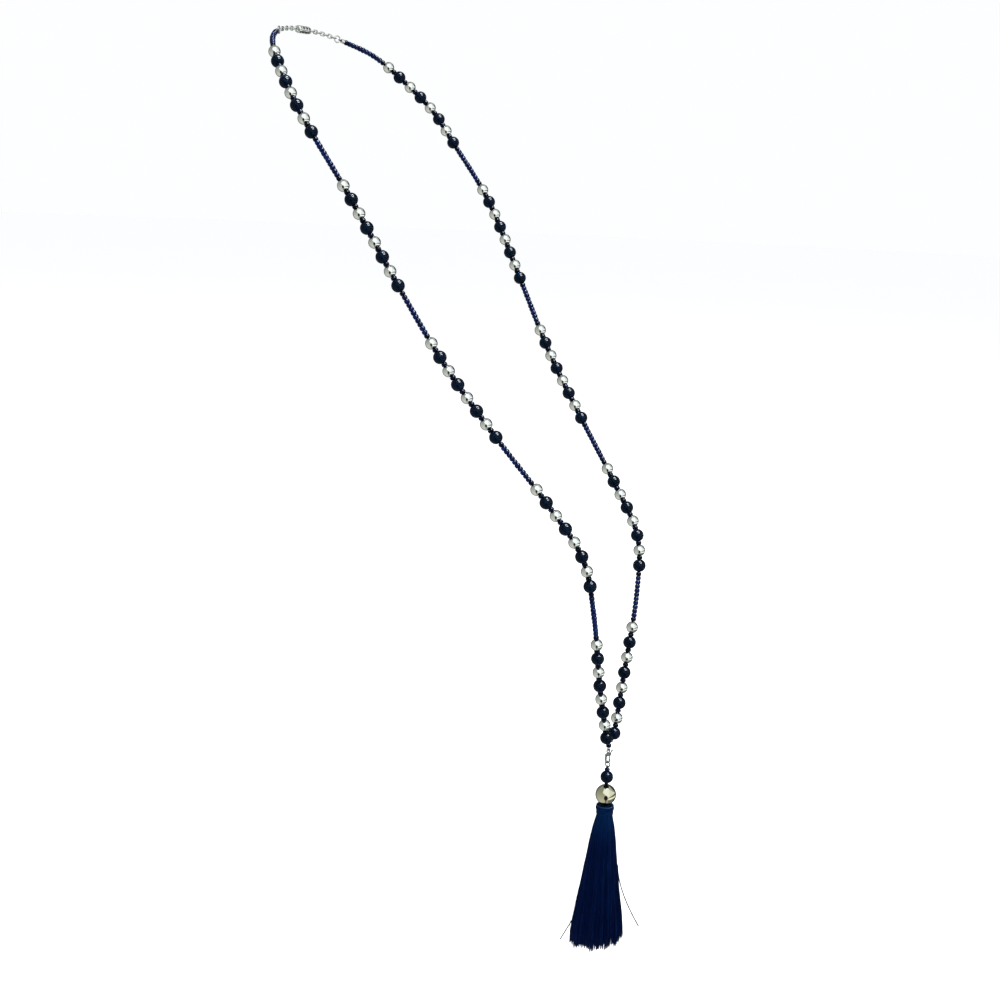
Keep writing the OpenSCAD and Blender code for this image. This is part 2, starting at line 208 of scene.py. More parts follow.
def shown(name: str, mesh: bpy.types.Mesh) -> Piece:
    """Puts a mesh into the scene as an object.

    Args:
        name: The object's name.
        mesh: What it holds.

    Returns:
        The new object.
    """
    thing = bpy.data.objects.new(name, mesh)
    bpy.context.scene.collection.objects.link(thing)
    return thing


def settle(thing: Piece) -> Piece:
    """Moves an object's place, turn and size into its mesh.

    Args:
        thing: An object that was moved, turned or scaled.

    Returns:
        The same object.
    """
    take(thing)
    bpy.ops.object.transform_apply(location=True, rotation=True, scale=True)
    return thing


def add(name: str, operator: Callable[..., Any], **settings: Any) -> Piece:
    """Adds a primitive, with nothing else selected.

    Args:
        name: The new piece's name.
        operator: Blender's operator that adds it.
        settings: The operator's own settings.

    Returns:
        The new object, settled.
    """
    take()
    operator(**settings)
    return settle(fresh(name))


def smooth(thing: Piece, degrees: float = SOFT_ANGLE) -> Piece:
    """Shades an object smooth, apart from edges sharper than an angle.

    Args:
        thing: The object to shade.
        degrees: The angle.

    Returns:
        The same object.
    """
    take(thing)
    bpy.ops.object.shade_smooth_by_angle(angle=math.radians(degrees))
    return thing


def outwards(thing: Piece) -> Piece:
    """Merges an object's doubled points and points its faces outwards.

    Args:
        thing: The object to clean.

    Returns:
        The same object.
    """
    with editing(thing):
        bpy.ops.mesh.select_all(action="SELECT")
        bpy.ops.mesh.remove_doubles(threshold=TINY)
        bpy.ops.mesh.normals_make_consistent(inside=False)
    return thing


def fuse(name: str, parts: Sequence[Piece]) -> Piece:
    """Joins several settled objects into one.

    Args:
        name: The name of the joined object.
        parts: The objects, of which the first one stays.

    Returns:
        The joined object.
    """
    take(*parts)
    if len(parts) > 1:
        bpy.ops.object.join()
    return fresh(name)


def modify(thing: Piece, kind: str, **settings: Any) -> Piece:
    """Adds one modifier and applies it.

    Args:
        thing: The object to change.
        kind: Blender's name of the modifier.
        settings: The modifier's own settings.

    Returns:
        The same object.
    """
    take(thing)
    modifier = thing.modifiers.new(kind.title(), kind)
    for key, value in settings.items():
        setattr(modifier, key, value)
    bpy.ops.object.modifier_apply(modifier=modifier.name)
    return thing


def cast(thing: Piece, grain: float, softening: int, keep: float) -> Piece:
    """Turns overlapping parts into one cast piece with soft inner corners.

    Args:
        thing: The joined parts.
        grain: The size of the cells that the surface is rebuilt from.
        softening: How many times the surface is smoothed.
        keep: The share of the faces that stay.

    Returns:
        The same object.
    """
    modify(thing, "REMESH", mode="VOXEL", voxel_size=grain)
    modify(thing, "SMOOTH", factor=0.5, iterations=softening)
    modify(thing, "DECIMATE", ratio=keep)
    return smooth(thing, CAST_ANGLE)


def torus(name: str, ring: float, wire: float, place: Sequence[float], axis: Sequence[float],
          turns: int = 32, sides: int = 12) -> Piece:
    """Adds a ring of round wire.

    Args:
        name: The ring's name.
        ring: Radius of the wire's middle line.
        wire: Diameter of the wire.
        place: Centre of the ring.
        axis: Direction square to the ring.
        turns: Segments round the ring.
        sides: Segments round the wire.

    Returns:
        The ring.
    """
    return add(name, bpy.ops.mesh.primitive_torus_add, major_radius=ring, minor_radius=wire / 2,
               major_segments=turns, minor_segments=sides, location=place,
               rotation=Vector(axis).to_track_quat("Z", "Y").to_euler())


def rod(name: str, start: Sequence[float], end: Sequence[float], radii: tuple[float, float],
        sides: int = 16) -> Piece:
    """Adds a round or tapered rod between two places.

    Args:
        name: The rod's name.
        start: Middle of its first end.
        end: Middle of its other end.
        radii: Radius at the first and at the other end.
        sides: Segments round it.

    Returns:
        The rod.
    """
    first, last = Vector(start), Vector(end)
    return add(name, bpy.ops.mesh.primitive_cone_add, vertices=sides, radius1=radii[0],
               radius2=radii[1], depth=(last - first).length, location=(first + last) / 2,
               rotation=(last - first).to_track_quat("Z", "Y").to_euler())


def ball(name: str, place: Sequence[float], radii: Sequence[float], sides: int = 20) -> Piece:
    """Adds a ball or an egg shape with a radius along each axis."""
    return add(name, bpy.ops.mesh.primitive_uv_sphere_add, segments=sides, ring_count=sides // 2,
               radius=1, location=place, scale=radii)


def bent_wire(name: str, start: Sequence[float], wire_r: float, centre: Sequence[float],
              axis: Sequence[float], angle: float, steps: int, sides: int) -> Piece:
    """Bends round wire about a centre, from an end that faces up.

    Args:
        name: The piece's name.
        start: Middle of the wire's end.
        wire_r: Radius of the wire.
        centre: The centre of the bend.
        axis: The bend's axis.
        angle: How far it bends, in radians.
        steps: Segments along the bend.
        sides: Segments round the wire.

    Returns:
        The bent wire.
    """
    wire = add(name, bpy.ops.mesh.primitive_circle_add, vertices=sides, radius=wire_r,
               fill_type="NGON", location=start)
    with editing(wire, Pick.FACES):
        bpy.ops.mesh.select_all(action="SELECT")
        bpy.ops.mesh.spin(steps=steps, angle=angle, center=centre, axis=axis)
    return outwards(wire)


def lathe(name: str, outline: Sequence[tuple[float, float]], place: Sequence[float],
          turns: int) -> Piece:
    """Turns an outline round the vertical through a place.

    Args:
        name: The piece's name.
        outline: Radius and height of each point, heights from the place.
        place: Where the axis and height zero are.
        turns: Segments round the axis.

    Returns:
        The turned piece.
    """
    mesh = bpy.data.meshes.new(name)
    points = [(place[0] + radius, place[1], place[2] + height) for radius, height in outline]
    mesh.from_pydata(points, [(i, i + 1) for i in range(len(points) - 1)], [])
    thing = shown(name, mesh)
    with editing(thing):
        bpy.ops.mesh.select_all(action="SELECT")
        bpy.ops.mesh.spin(steps=turns, angle=FULL_TURN, center=place, axis=(0, 0, 1))
    return outwards(thing)


def drilled_ball(name: str, diameter: float, bore: float, turns: int = 28) -> Piece:
    """Models a round bead at the origin, its hole along Z.

    Args:
        name: The bead's name.
        diameter: The bead's diameter.
        bore: The hole's diameter.
        turns: Segments round the hole.

    Returns:
        The bead, with a softened rim at each end of the hole.
    """
    radius, hole = diameter / 2, bore / 2
    half = math.sqrt(radius ** 2 - hole ** 2)
    bead = add(name, bpy.ops.mesh.primitive_uv_sphere_add, segments=turns,
               ring_count=turns // 2 + 4, radius=radius)
    with editing(bead, Pick.EDGES):
        for side in SIDES:
            bpy.ops.mesh.select_all(action="SELECT")
            bpy.ops.mesh.bisect(
                plane_co=(0, 0, side * half), plane_no=(0, 0, side), clear_outer=True)
        pick(bead, lambda p: abs(abs(p.z) - half) < TINY, Pick.EDGES)
        bpy.ops.mesh.bridge_edge_loops()
        for side in SIDES:
            pick(bead, lambda p: abs(p.z - side * half) < TINY, Pick.EDGES)
            bpy.ops.mesh.bevel(offset=hole * RIM_SHARE, segments=2, affect="EDGES")
    return smooth(outwards(bead), ROUND_ANGLE)


def drilled_seed(name: str, diameter: float, bore: float, length: float, turns: int = 12,
                 rounding: float = 0.62) -> Piece:
    """Models a short bead with rounded shoulders at the origin, its hole along Z.

    Args:
        name: The bead's name.
        diameter: The bead's diameter.
        bore: The hole's diameter.
        length: The bead's length.
        turns: Segments round the hole.
        rounding: Share of the wall that the shoulders round off.

    Returns:
        The bead.
    """
    seed = add(name, bpy.ops.mesh.primitive_cylinder_add, vertices=turns, radius=diameter / 2,
               depth=length)
    wall = (diameter - bore) / 2
    between = (diameter - wall) / 2
    with editing(seed, Pick.FACES):
        for side in SIDES:
            pick(seed, lambda p: p.z * side > 0, Pick.FACES)
            bpy.ops.mesh.inset(thickness=wall)
            bpy.ops.mesh.delete(type="FACE")
        bpy.ops.mesh.select_mode(type="EDGE")
        pick(seed, lambda p: p.xy.length < between, Pick.EDGES)
        bpy.ops.mesh.bridge_edge_loops()
        for side in SIDES:
            pick(seed, lambda p: p.z * side > 0 and p.xy.length > between, Pick.EDGES)
            bpy.ops.mesh.bevel(offset=wall * rounding, segments=2, affect="EDGES")
    return smooth(outwards(seed), CAST_ANGLE)


def oval_link(name: str, length: float, width: float, wire: float) -> Piece:
    """Models an oval chain link in the XZ plane, its length along Z.

    Args:
        name: The link's name.
        length: Between the middles of its two ends.
        width: Between the middles of its two sides.
        wire: Diameter of the wire.

    Returns:
        The link.
    """
    link = torus(name, width / 2, wire, (0, 0, 0), (0, 1, 0), turns=20, sides=8)
    with editing(link):
        for side in SIDES:
            pick(link, lambda p: p.z * side > TINY)
            bpy.ops.transform.translate(value=(0, 0, side * (length - width) / 2))
    return smooth(link)


def scatter(template: Piece, places: Sequence[Matrix], name: str,
            tones: Optional[Sequence[float]] = None) -> Piece:
    """Makes one piece of copies of a modelled shape, and deletes the shape.

    Args:
        template: The shape at the origin.
        places: Where each copy goes.
        name: The name of the new piece.
        tones: Each copy's own number from 0 to 1, kept as the attribute tone.

    Returns:
        The new piece. Its attribute hole is 1 on a hole's edge and 0 away from it, and its
        attribute end rises to 1 towards the ends of each copy.
    """
    source = template.data
    copies, count = len(places), len(source.vertices)
    points = np.empty(count * 3)
    source.vertices.foreach_get("co", points)
    points = points.reshape(count, 3)
    faces = [tuple(face.vertices) for face in source.polygons]
    has_edges = any(edge.use_edge_sharp for edge in source.edges)
    turned = [points @ np.array(place.to_3x3()).T + np.array(place.translation)
              for place in places]
    mesh = bpy.data.meshes.new(name)
    mesh.from_pydata(
        np.concatenate(turned).tolist(), [],
        [tuple(copy * count + i for i in face) for copy in range(copies) for face in faces])
    mesh.shade_smooth()
    reach, rise = np.linalg.norm(points[:, :2], axis=1), np.abs(points[:, 2])
    hole = np.clip(1 - (reach - reach.min()) / (HOLE_FADE * reach.max()), 0, 1)
    store(mesh, "hole", np.tile(hole, copies))
    store(mesh, "end", np.tile(rise / rise.max(), copies))
    store(mesh, "tone", np.repeat(np.zeros(copies) if tones is None else tones, count))
    thing = shown(name, mesh)
    if has_edges:
        smooth(thing, ROUND_ANGLE)
    bpy.data.objects.remove(template)
    return thing


def store(mesh: bpy.types.Mesh, name: str, values: np.ndarray) -> None:
    """Keeps one number for each point of a mesh as a named attribute."""
    kept = mesh.attributes.new(name, "FLOAT", "POINT")
    kept.data.foreach_set("value", values.astype(np.float32))


def tint(thing: Piece, tone: float, pale_and_glint: float = 0.0) -> Piece:
    """Gives a whole piece one tone and one paleness.

    Args:
        thing: The piece.
        tone: Its tone, from 0 to 1.
        pale_and_glint: Its share of the pale colour, from 0 to 1; on the head's top turn this is
            a painted highlight.

    Returns:
        The same piece.
    """
    for name, value in (("tone", tone), ("pale_and_glint", pale_and_glint)):
        store(thing.data, name, np.full(len(thing.data.vertices), value))
    return thing


def unit(vectors: np.ndarray) -> np.ndarray:
    """Gives vectors along the last axis a length of one."""
    return vectors / np.linalg.norm(vectors, axis=-1, keepdims=True)


def fibres(name: str, paths: np.ndarray, radii: np.ndarray, turn: np.ndarray,
           tones: np.ndarray, sides: int = 4, pales: Optional[np.ndarray] = None) -> Piece:
    """Makes one piece of many thin round strands that stand round an upright axis.

    Args:
        name: The piece's name.
        paths: Places along each strand, as strand, step and coordinate.
        radii: Radius at each of those places, as strand and step.
        turn: Each strand's angle round the axis.
        tones: Each strand's own number from 0 to 1, kept as the attribute tone.
        sides: Segments round a strand.
        pales: How pale each strand is, from 0 to 1, kept as the attribute pale_and_glint.

    Returns:
        The piece. Its attribute down runs from 0 to 1 along each strand.
    """
    strands, steps = radii.shape
    around = np.stack([-np.sin(turn), np.cos(turn), 0 * turn], axis=-1)[:, None, :]
    ahead = unit(np.gradient(paths, axis=1))
    first = unit(around - ahead * (ahead * around).sum(-1, keepdims=True))
    second = np.cross(ahead, first)
    corner = (np.arange(sides) * FULL_TURN / sides)[:, None]
    ring = np.cos(corner) * first[:, :, None, :] + np.sin(corner) * second[:, :, None, :]
    points = paths[:, :, None, :] + radii[:, :, None, None] * ring
    index = np.arange(strands * steps * sides).reshape(strands, steps, sides)
    after = np.roll(index, -1, axis=2)
    walls = np.stack([index[:, :-1], after[:, :-1], after[:, 1:], index[:, 1:]], axis=-1)
    ends = index[:, 0, ::-1].tolist() + index[:, -1].tolist()
    mesh = bpy.data.meshes.new(name)
    mesh.from_pydata(points.reshape(-1, 3).tolist(), [], walls.reshape(-1, 4).tolist() + ends)
    mesh.shade_smooth()
    store(mesh, "tone", np.repeat(tones, steps * sides))
    store(mesh, "pale_and_glint", np.repeat(np.zeros(strands) if pales is None else pales, steps * sides))
    store(mesh, "down", np.tile(np.repeat(np.linspace(0, 1, steps), sides), strands))
    return shown(name, mesh)


# Finishes


def maths(operation: str, swapped: bool = False) -> Callable[..., "Shade"]:
    """Makes a method that adds a Math node.

    Args:
        operation: Blender's name of the operation.
        swapped: Whether the other value comes first, as in 1 - mask.

    Returns:
        The method, which gives the node's result.
    """
    def method(self: "Shade", *others: Any) -> "Shade":
        """Adds the node.

        Args:
            others: The node's other inputs, numbers or shades.

        Returns:
            The node's result.
        """
        values = (*others, self) if swapped else (self, *others)
        return self.sheet.node(
            "ShaderNodeMath", {"operation": operation}, dict(enumerate(values)))

    return method


class Shade:
    """A socket of a node tree that takes arithmetic."""

    def __init__(self, sheet: "NodeSheet", socket: bpy.types.NodeSocket) -> None:
        """Wraps one output socket of a tree."""
        self.sheet = sheet
        self.socket = socket

    __add__, __radd__ = maths("ADD"), maths("ADD", swapped=True)
    __sub__, __rsub__ = maths("SUBTRACT"), maths("SUBTRACT", swapped=True)
    __mul__, __rmul__ = maths("MULTIPLY"), maths("MULTIPLY", swapped=True)
    __pow__, __abs__ = maths("POWER"), maths("ABSOLUTE")
    or_more = maths("MAXIMUM")

    def between(self, low: float, high: float) -> "Shade":
        """Maps the range from low to high softly to 0 to 1.

        Args:
            low: The value that gives 0.
            high: The value that gives 1.

        Returns:
            The mapped value.
        """
        return self.sheet.node(
            "ShaderNodeMapRange", {"interpolation_type": "SMOOTHSTEP"},
            {"Value": self, "From Min": low, "From Max": high})


class NodeSheet:
    """The node tree of one material or of the world."""

    def __init__(self, owner: Any) -> None:
        """Clears the tree of a material or a world.

        Args:
            owner: A material or a world.
        """
        owner.use_nodes = True
        self.tree = owner.node_tree
        self.tree.nodes.clear()

    def node(self, kind: str, settings: Optional[Mapping[str, Any]] = None,
             inputs: Optional[Mapping[Any, Any]] = None, result: Any = 0) -> Shade:
        """Adds one node.

        Args:
            kind: The node's type.
            settings: Values of its own properties.
            inputs: Numbers, colours or shades for its sockets, by name or number.
            result: The name or number of the output that is wanted.

        Returns:
            That output, or the node's first socket if it has no output.
        """
        made = self.tree.nodes.new(kind)
        for key, value in (settings or {}).items():
            setattr(made, key, value)
        for key, value in (inputs or {}).items():
            socket = made.inputs[key]
            if isinstance(value, Shade):
                self.tree.links.new(value.socket, socket)
            elif isinstance(value, tuple) and socket.type == "RGBA":
                socket.default_value = (*value, 1.0)
            else:
                socket.default_value = value
        return Shade(self, made.outputs[result] if made.outputs else made.inputs[0])

    def mix(self, share: Any, first: Any, second: Any) -> Shade:
        """Mixes two colours."""
        return self.node(
            "ShaderNodeMix", {"data_type": "RGBA"}, {0: share, 6: first, 7: second}, 2)

    def place(self, stretch: Colour = (1, 1, 1)) -> Shade:
        """Gives the object's own coordinates, scaled along each axis."""
        own = self.node("ShaderNodeTexCoord", result="Object")
        return self.node("ShaderNodeVectorMath", {"operation": "MULTIPLY"}, {0: own, 1: stretch})

    def noise(self, scale: float, detail: float = 3, stretch: Colour = (1, 1, 1)) -> Shade:
        """Gives cloudy noise, features being about one over the scale, in metres."""
        return self.node("ShaderNodeTexNoise", None,
                         {"Vector": self.place(stretch), "Scale": scale, "Detail": detail}, "Fac")

    def own(self, name: str) -> Shade:
        """Gives a number kept on the mesh."""
        return self.node("ShaderNodeAttribute", {"attribute_name": name}, None, "Fac")

    def bump(self, height: Shade, depth: float, strength: float = 1.0) -> Shade:
        """Turns heights from 0 to 1 into a relief of a depth in metres."""
        return self.node("ShaderNodeBump", None,
                         {"Height": height, "Distance": depth, "Strength": strength}, "Normal")


@dataclass(frozen=True)
class Finish:
    """A surface: constants for the shader's sockets, and a pattern that a subclass adds."""

    name: str
    constants: Mapping[str, Any] = field(default_factory=dict)

    def pattern(self, sheet: NodeSheet) -> Mapping[str, Any]:
        """Gives what changes over the surface, by socket name."""
        raise NotImplementedError

    def material(self) -> bpy.types.Material:
        """Makes the material, or gives the one made before.

        Returns:
            The material of this finish.
        """
        if self.name in bpy.data.materials:
            return bpy.data.materials[self.name]
        made = bpy.data.materials.new(self.name)
        sheet = NodeSheet(made)
        surface = sheet.node(
            "ShaderNodeBsdfPrincipled", None, {**self.constants, **self.pattern(sheet)})
        sheet.node("ShaderNodeOutputMaterial", None, {"Surface": surface})
        return made


@dataclass(frozen=True)
class PolishedStone(Finish):
    """Round stone beads, polished, with faint clouds and a dull rim at the hole."""

    deep: Colour = (0.0002, 0.0022, 0.007)
    light: Colour = (0.001, 0.005, 0.0145)

    def pattern(self, sheet: NodeSheet) -> Mapping[str, Any]:
        """Clouds, a few lighter grains, and wear round the hole.

        Args:
            sheet: The material's node tree.

        Returns:
            What changes over the surface, by socket name.
        """
        clouds = sheet.noise(420, 4)
        grains = sheet.noise(5200, 2).between(0.7, 0.78)
        hole = sheet.own("hole")
        tone = clouds.between(0.35, 0.72) * 0.6 + sheet.own("tone") * 0.45 + grains * 0.5
        return {
            "Base Color": sheet.mix(tone, self.deep, self.light),
            "Roughness": 0.07 + clouds * 0.05 + hole * 0.3 + grains * 0.08,
            "Normal": sheet.bump(clouds, 0.012 * MM, 0.5),
        }


@dataclass(frozen=True)
class MirrorMetal(Finish):
    """Bright plated beads with fine handling marks and a darker rim at the hole."""

    plate: Colour = (0.58, 0.6, 0.585)
    shade: Colour = (0.34, 0.36, 0.31)

    def pattern(self, sheet: NodeSheet) -> Mapping[str, Any]:
        """Soft patches of tarnish, hairline scratches, and wear round the hole.

        Args:
            sheet: The material's node tree.

        Returns:
            What changes over the surface, by socket name.
        """
        patches = sheet.noise(260, 3)
        hair = sheet.noise(900, 2, (1, 1, 7)).between(0.66, 0.72)
        hole = sheet.own("hole")
        worn = patches.between(0.52, 0.8) * 0.35 + hole ** 3 * 0.7
        return {
            "Base Color": sheet.mix(worn, self.plate, self.shade),
            "Roughness": 0.05 + patches * 0.05 + hair * 0.1 + hole ** 2 * 0.25,
            "Normal": sheet.bump(patches, 0.03 * MM, 0.6),
        }


@dataclass(frozen=True)
class SeedGlass(Finish):
    """Glossy seed beads whose tone runs from near black to full colour."""

    dark: Colour = (0.0003, 0.0012, 0.0055)
    full: Colour = (0.0034, 0.0115, 0.066)

    def pattern(self, sheet: NodeSheet) -> Mapping[str, Any]:
        """Each bead's own tone, slight streaks, and painted shade at the hole and the ends, where
        the beads meet.

        Args:
            sheet: The material's node tree.

        Returns:
            What changes over the surface, by socket name.
        """
        streaks = sheet.noise(1500, 2)
        hole = sheet.own("hole")
        tone = sheet.own("tone") * (0.75 + streaks * 0.5)
        # Painted shade: darker at the hole's edge and towards each end, in the grooves between
        # beads
        tone = tone * (1 - hole * 0.6) * (1 - sheet.own("end") ** 3 * 0.85)
        return {
            "Base Color": sheet.mix(tone, self.dark, self.full),
            "Roughness": 0.1 + streaks * 0.14 + hole * 0.25,
            "Normal": sheet.bump(streaks, 0.05 * MM, 0.7),
        }


@dataclass(frozen=True)
class SilverPlate(Finish):
    """Plated clasps, rings and links, bright at the back; the darker default plate is painted
    shade.
    """

    # The default plate and grime colour are far darker than bright silver: painted shade and
    # painted dark reflections on the front clasp
    plate: Colour = (0.17, 0.185, 0.185)
    shade: Colour = (0.02, 0.03, 0.03)

    def pattern(self, sheet: NodeSheet) -> Mapping[str, Any]:
        """Cast ripples, and random patches of grime that also deepen the painted shade.

        Args:
            sheet: The material's node tree.

        Returns:
            What changes over the surface, by socket name.
        """
        ripples = sheet.noise(1100, 3)
        grime_and_shade = sheet.noise(640, 4).between(0.56, 0.78)
        return {
            "Base Color": sheet.mix(grime_and_shade * 0.85, self.plate, self.shade),
            "Roughness": 0.1 + ripples * 0.1 + grime_and_shade * 0.18,
            "Normal": sheet.bump(ripples, 0.06 * MM, 0.8),
        }


@dataclass(frozen=True)
class SilkFloss(Finish):
    """Dark silky floss with lighter strands, a sheen along the fibres, and painted light on the
    skirt's top.
    """

    deep: Colour = (0.0002, 0.0016, 0.018)
    light: Colour = (0.0008, 0.0072, 0.05)
    # Painted light: the skirt's top under the head is lighter and greener, as where light and
    # sheen fall on its slant
    top_light: Colour = (0.0005, 0.0115, 0.05)
    # The pale strands' colour, also used for the painted highlight on the head's top turn
    pale_and_glint: Colour = (0.022, 0.052, 0.11)

    def pattern(self, sheet: NodeSheet) -> Mapping[str, Any]:
        """Streaks over each strand's own tone, painted light under the head, pale strands, and a
        painted highlight on the head's top turn.

        Args:
            sheet: The material's node tree.

        Returns:
            What changes over the surface, by socket name.
        """
        streaks = sheet.noise(2600, 3, (1, 1, 0.06))
        clouds = sheet.noise(190, 2, (1, 1, 0.5))
        down = sheet.own("down")
        tone = (sheet.own("tone") * 0.6 + streaks.between(0.45, 0.75) * 0.25
                + clouds.between(0.5, 0.8) * 0.2 + down.between(0.86, 1) * 0.35)
        # Painted light and sheen: the skirt's top is mixed towards a lighter, greener colour
        # under the head
        top_light_share = (1 - down.between(0.04, 0.32)) * 0.75
        colour = sheet.mix(top_light_share, sheet.mix(tone, self.deep, self.light), self.top_light)
        return {
            "Base Color": sheet.mix(sheet.own("pale_and_glint"), colour, self.pale_and_glint),
            "Roughness": 0.36 + streaks * 0.22,
            "Normal": sheet.bump(streaks, 0.04 * MM, 0.8),
        }


@dataclass(frozen=True)
class TwistedThread(Finish):
    """Fine dark beading thread."""

    deep: Colour = (0.0015, 0.002, 0.008)
    light: Colour = (0.01, 0.012, 0.04)

    def pattern(self, sheet: NodeSheet) -> Mapping[str, Any]:
        """Slanting plies and loose fuzz.

        Args:
            sheet: The material's node tree.

        Returns:
            What changes over the surface, by socket name.
        """
        plies = sheet.node(
            "ShaderNodeTexWave", {"bands_direction": "DIAGONAL"},
            {"Vector": sheet.place(), "Scale": 520.0, "Distortion": 1.5}, "Fac")
        fuzz = sheet.noise(5200, 2)
        return {
            "Base Color": sheet.mix(plies * 0.6 + fuzz * 0.4, self.deep, self.light),
            "Roughness": 0.55 + fuzz * 0.25,
            "Normal": sheet.bump(plies, 0.05 * MM),
        }


@dataclass(frozen=True)
class PaleFloor(Finish):
    """The studio's plain pale floor."""

    paint: Colour = (0.985, 0.987, 0.99)
    far: Colour = (0.995, 0.995, 0.995)

    def pattern(self, sheet: NodeSheet) -> Mapping[str, Any]:
        """Very faint clouds.

        Args:
            sheet: The material's node tree.

        Returns:
            What changes over the surface, by socket name.
        """
        clouds = sheet.noise(1.5, 2)
        return {"Base Color": sheet.mix(clouds * 0.3, self.paint, self.far),
                "Roughness": 0.7 + clouds * 0.1}


STONE = PolishedStone("polished_stone", {"IOR": 1.5, "Specular IOR Level": 0.05})
SMALL_METAL = MirrorMetal("mirror_metal", {"Metallic": 1.0})
LARGE_METAL = MirrorMetal(
    "warm_mirror_metal", {"Metallic": 1.0}, (0.47, 0.46, 0.34), (0.34, 0.32, 0.22))
SEED = SeedGlass("seed_glass", {"IOR": 1.5, "Specular IOR Level": 0.05})
# The front clasp's silver is darkened as painted shade; the back closure keeps a bright plate
SHADED_SILVER = SilverPlate("shaded_silver_plate", {"Metallic": 1.0})
BACK_SILVER = SilverPlate(
    "back_silver_plate", {"Metallic": 1.0}, (0.6, 0.61, 0.6), (0.16, 0.17, 0.16))
SILK = SilkFloss("silk_floss", {
    "IOR": 1.45, "Sheen Weight": 0.01, "Sheen Roughness": 0.35, "Sheen Tint": (0.05, 0.4, 0.9),
    "Specular IOR Level": 0.05, "Specular Tint": (0.1, 0.45, 1.0)})
THREAD = TwistedThread("twisted_thread", {"Sheen Weight": 0.02, "Specular IOR Level": 0.1})
FLOOR = PaleFloor("pale_floor", {"Specular IOR Level": 0.0})


def finish_piece(thing: Piece, finish: Finish, slot: Slot, body: Body, *nodes: str) -> None:
    """Dresses a piece, puts it on its body and hides the frame's nodes that it replaces.

    Args:
        thing: The finished mesh.
        finish: Its finish.
        slot: The record's slot that the finish belongs to; not used.
        body: The body that it rides on.
        nodes: The nodes of the frame that it replaces.
    """
    wear(thing, finish)
    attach(thing, body.value)
    if nodes:
        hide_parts(*nodes)
    faces = sum(len(face.vertices) - 2 for face in thing.data.polygons)
    LOG.info("%s: %d triangles, on %s", thing.name, faces, body.value)


def wear(thing: Piece, finish: Finish) -> None:
    """Gives an object one finish in place of any other."""
    thing.data.materials.clear()
    thing.data.materials.append(finish.material())


def joint_place(name: str) -> Vector:
    """Gives the place of one of the frame's joints."""
    return Vector(next(joint["pos_m"] for joint in frame["joints"] if joint["name"] == name))


# The necklace


@dataclass
class StrandLine:
    """The line of the strand's left half, from the join in front to the nape."""

    route: Sequence[tuple[float, float, float]] = (
        (3, -197, -338.5), (13, -196, -307), (23, -195.5, -269), (29.5, -191, -240.5),
        (35, -173.5, -216), (42.5, -149.5, -187.5), (49.5, -125.5, -157), (56.5, -102, -121),
        (62, -77.5, -82), (62, -54, -52.5), (60.5, -41, -36), (52, -25.5, -20),
        (42.5, -14.5, -9.5), (28.5, -5.5, -3.5), (14, -1, -0.5), (0, 0, 0))
    steps: int = 8
    curve: np.ndarray = field(init=False)
    reach: np.ndarray = field(init=False)

    def __post_init__(self) -> None:
        """Draws the smooth curve through the route and measures along it."""
        points = np.array(self.route) * MM
        points = np.vstack([2 * points[0] - points[1], points, points[-2] * (-1, 1, 1)])
        share = (np.arange(self.steps) / self.steps)[:, None]
        spans = []
        for a, b, c, d in zip(points, points[1:], points[2:], points[3:]):
            spans.append(0.5 * (2 * b + (c - a) * share + (2 * a - 5 * b + 4 * c - d) * share ** 2
                                + (3 * b - a - 3 * c + d) * share ** 3))
        self.curve = np.vstack([*spans, points[-2]])
        lengths = np.linalg.norm(np.diff(self.curve, axis=0), axis=1)
        self.reach = np.concatenate([[0], np.cumsum(lengths)])

    def at(self, length: float) -> Vector:
        """Gives the place at a length along the line."""
        return Vector([float(np.interp(length, self.reach, self.curve[:, i])) for i in range(3)])

    def along(self, length: float) -> Vector:
        """Gives the line's direction at a length along it."""
        return (self.at(length + 0.5 * MM) - self.at(length - 0.5 * MM)).normalized()

    def stand(self, length: float, side: int, spin: float = 0.0, lean: float = 0.0) -> Matrix:
        """Gives where a piece strung on the line goes, with its own Z along the line.

        Args:
            length: Length along the line.
            side: 1 for the wearer's left half and -1 for the right one.
            spin: Turn about the line, in radians.
            lean: Tilt away from the line, in radians.

        Returns:
            The piece's matrix.
        """
        place, ahead = self.at(length), self.along(length)
        place.x *= side
        ahead.x *= side
        across = ahead.cross(Vector((0, 0, 1))).normalized()
        turn = Matrix((across, ahead.cross(across), ahead)).transposed().to_4x4()
        return (Matrix.Translation(place) @ turn @ Matrix.Rotation(spin, 4, "Z")
                @ Matrix.Rotation(lean, 4, "X"))


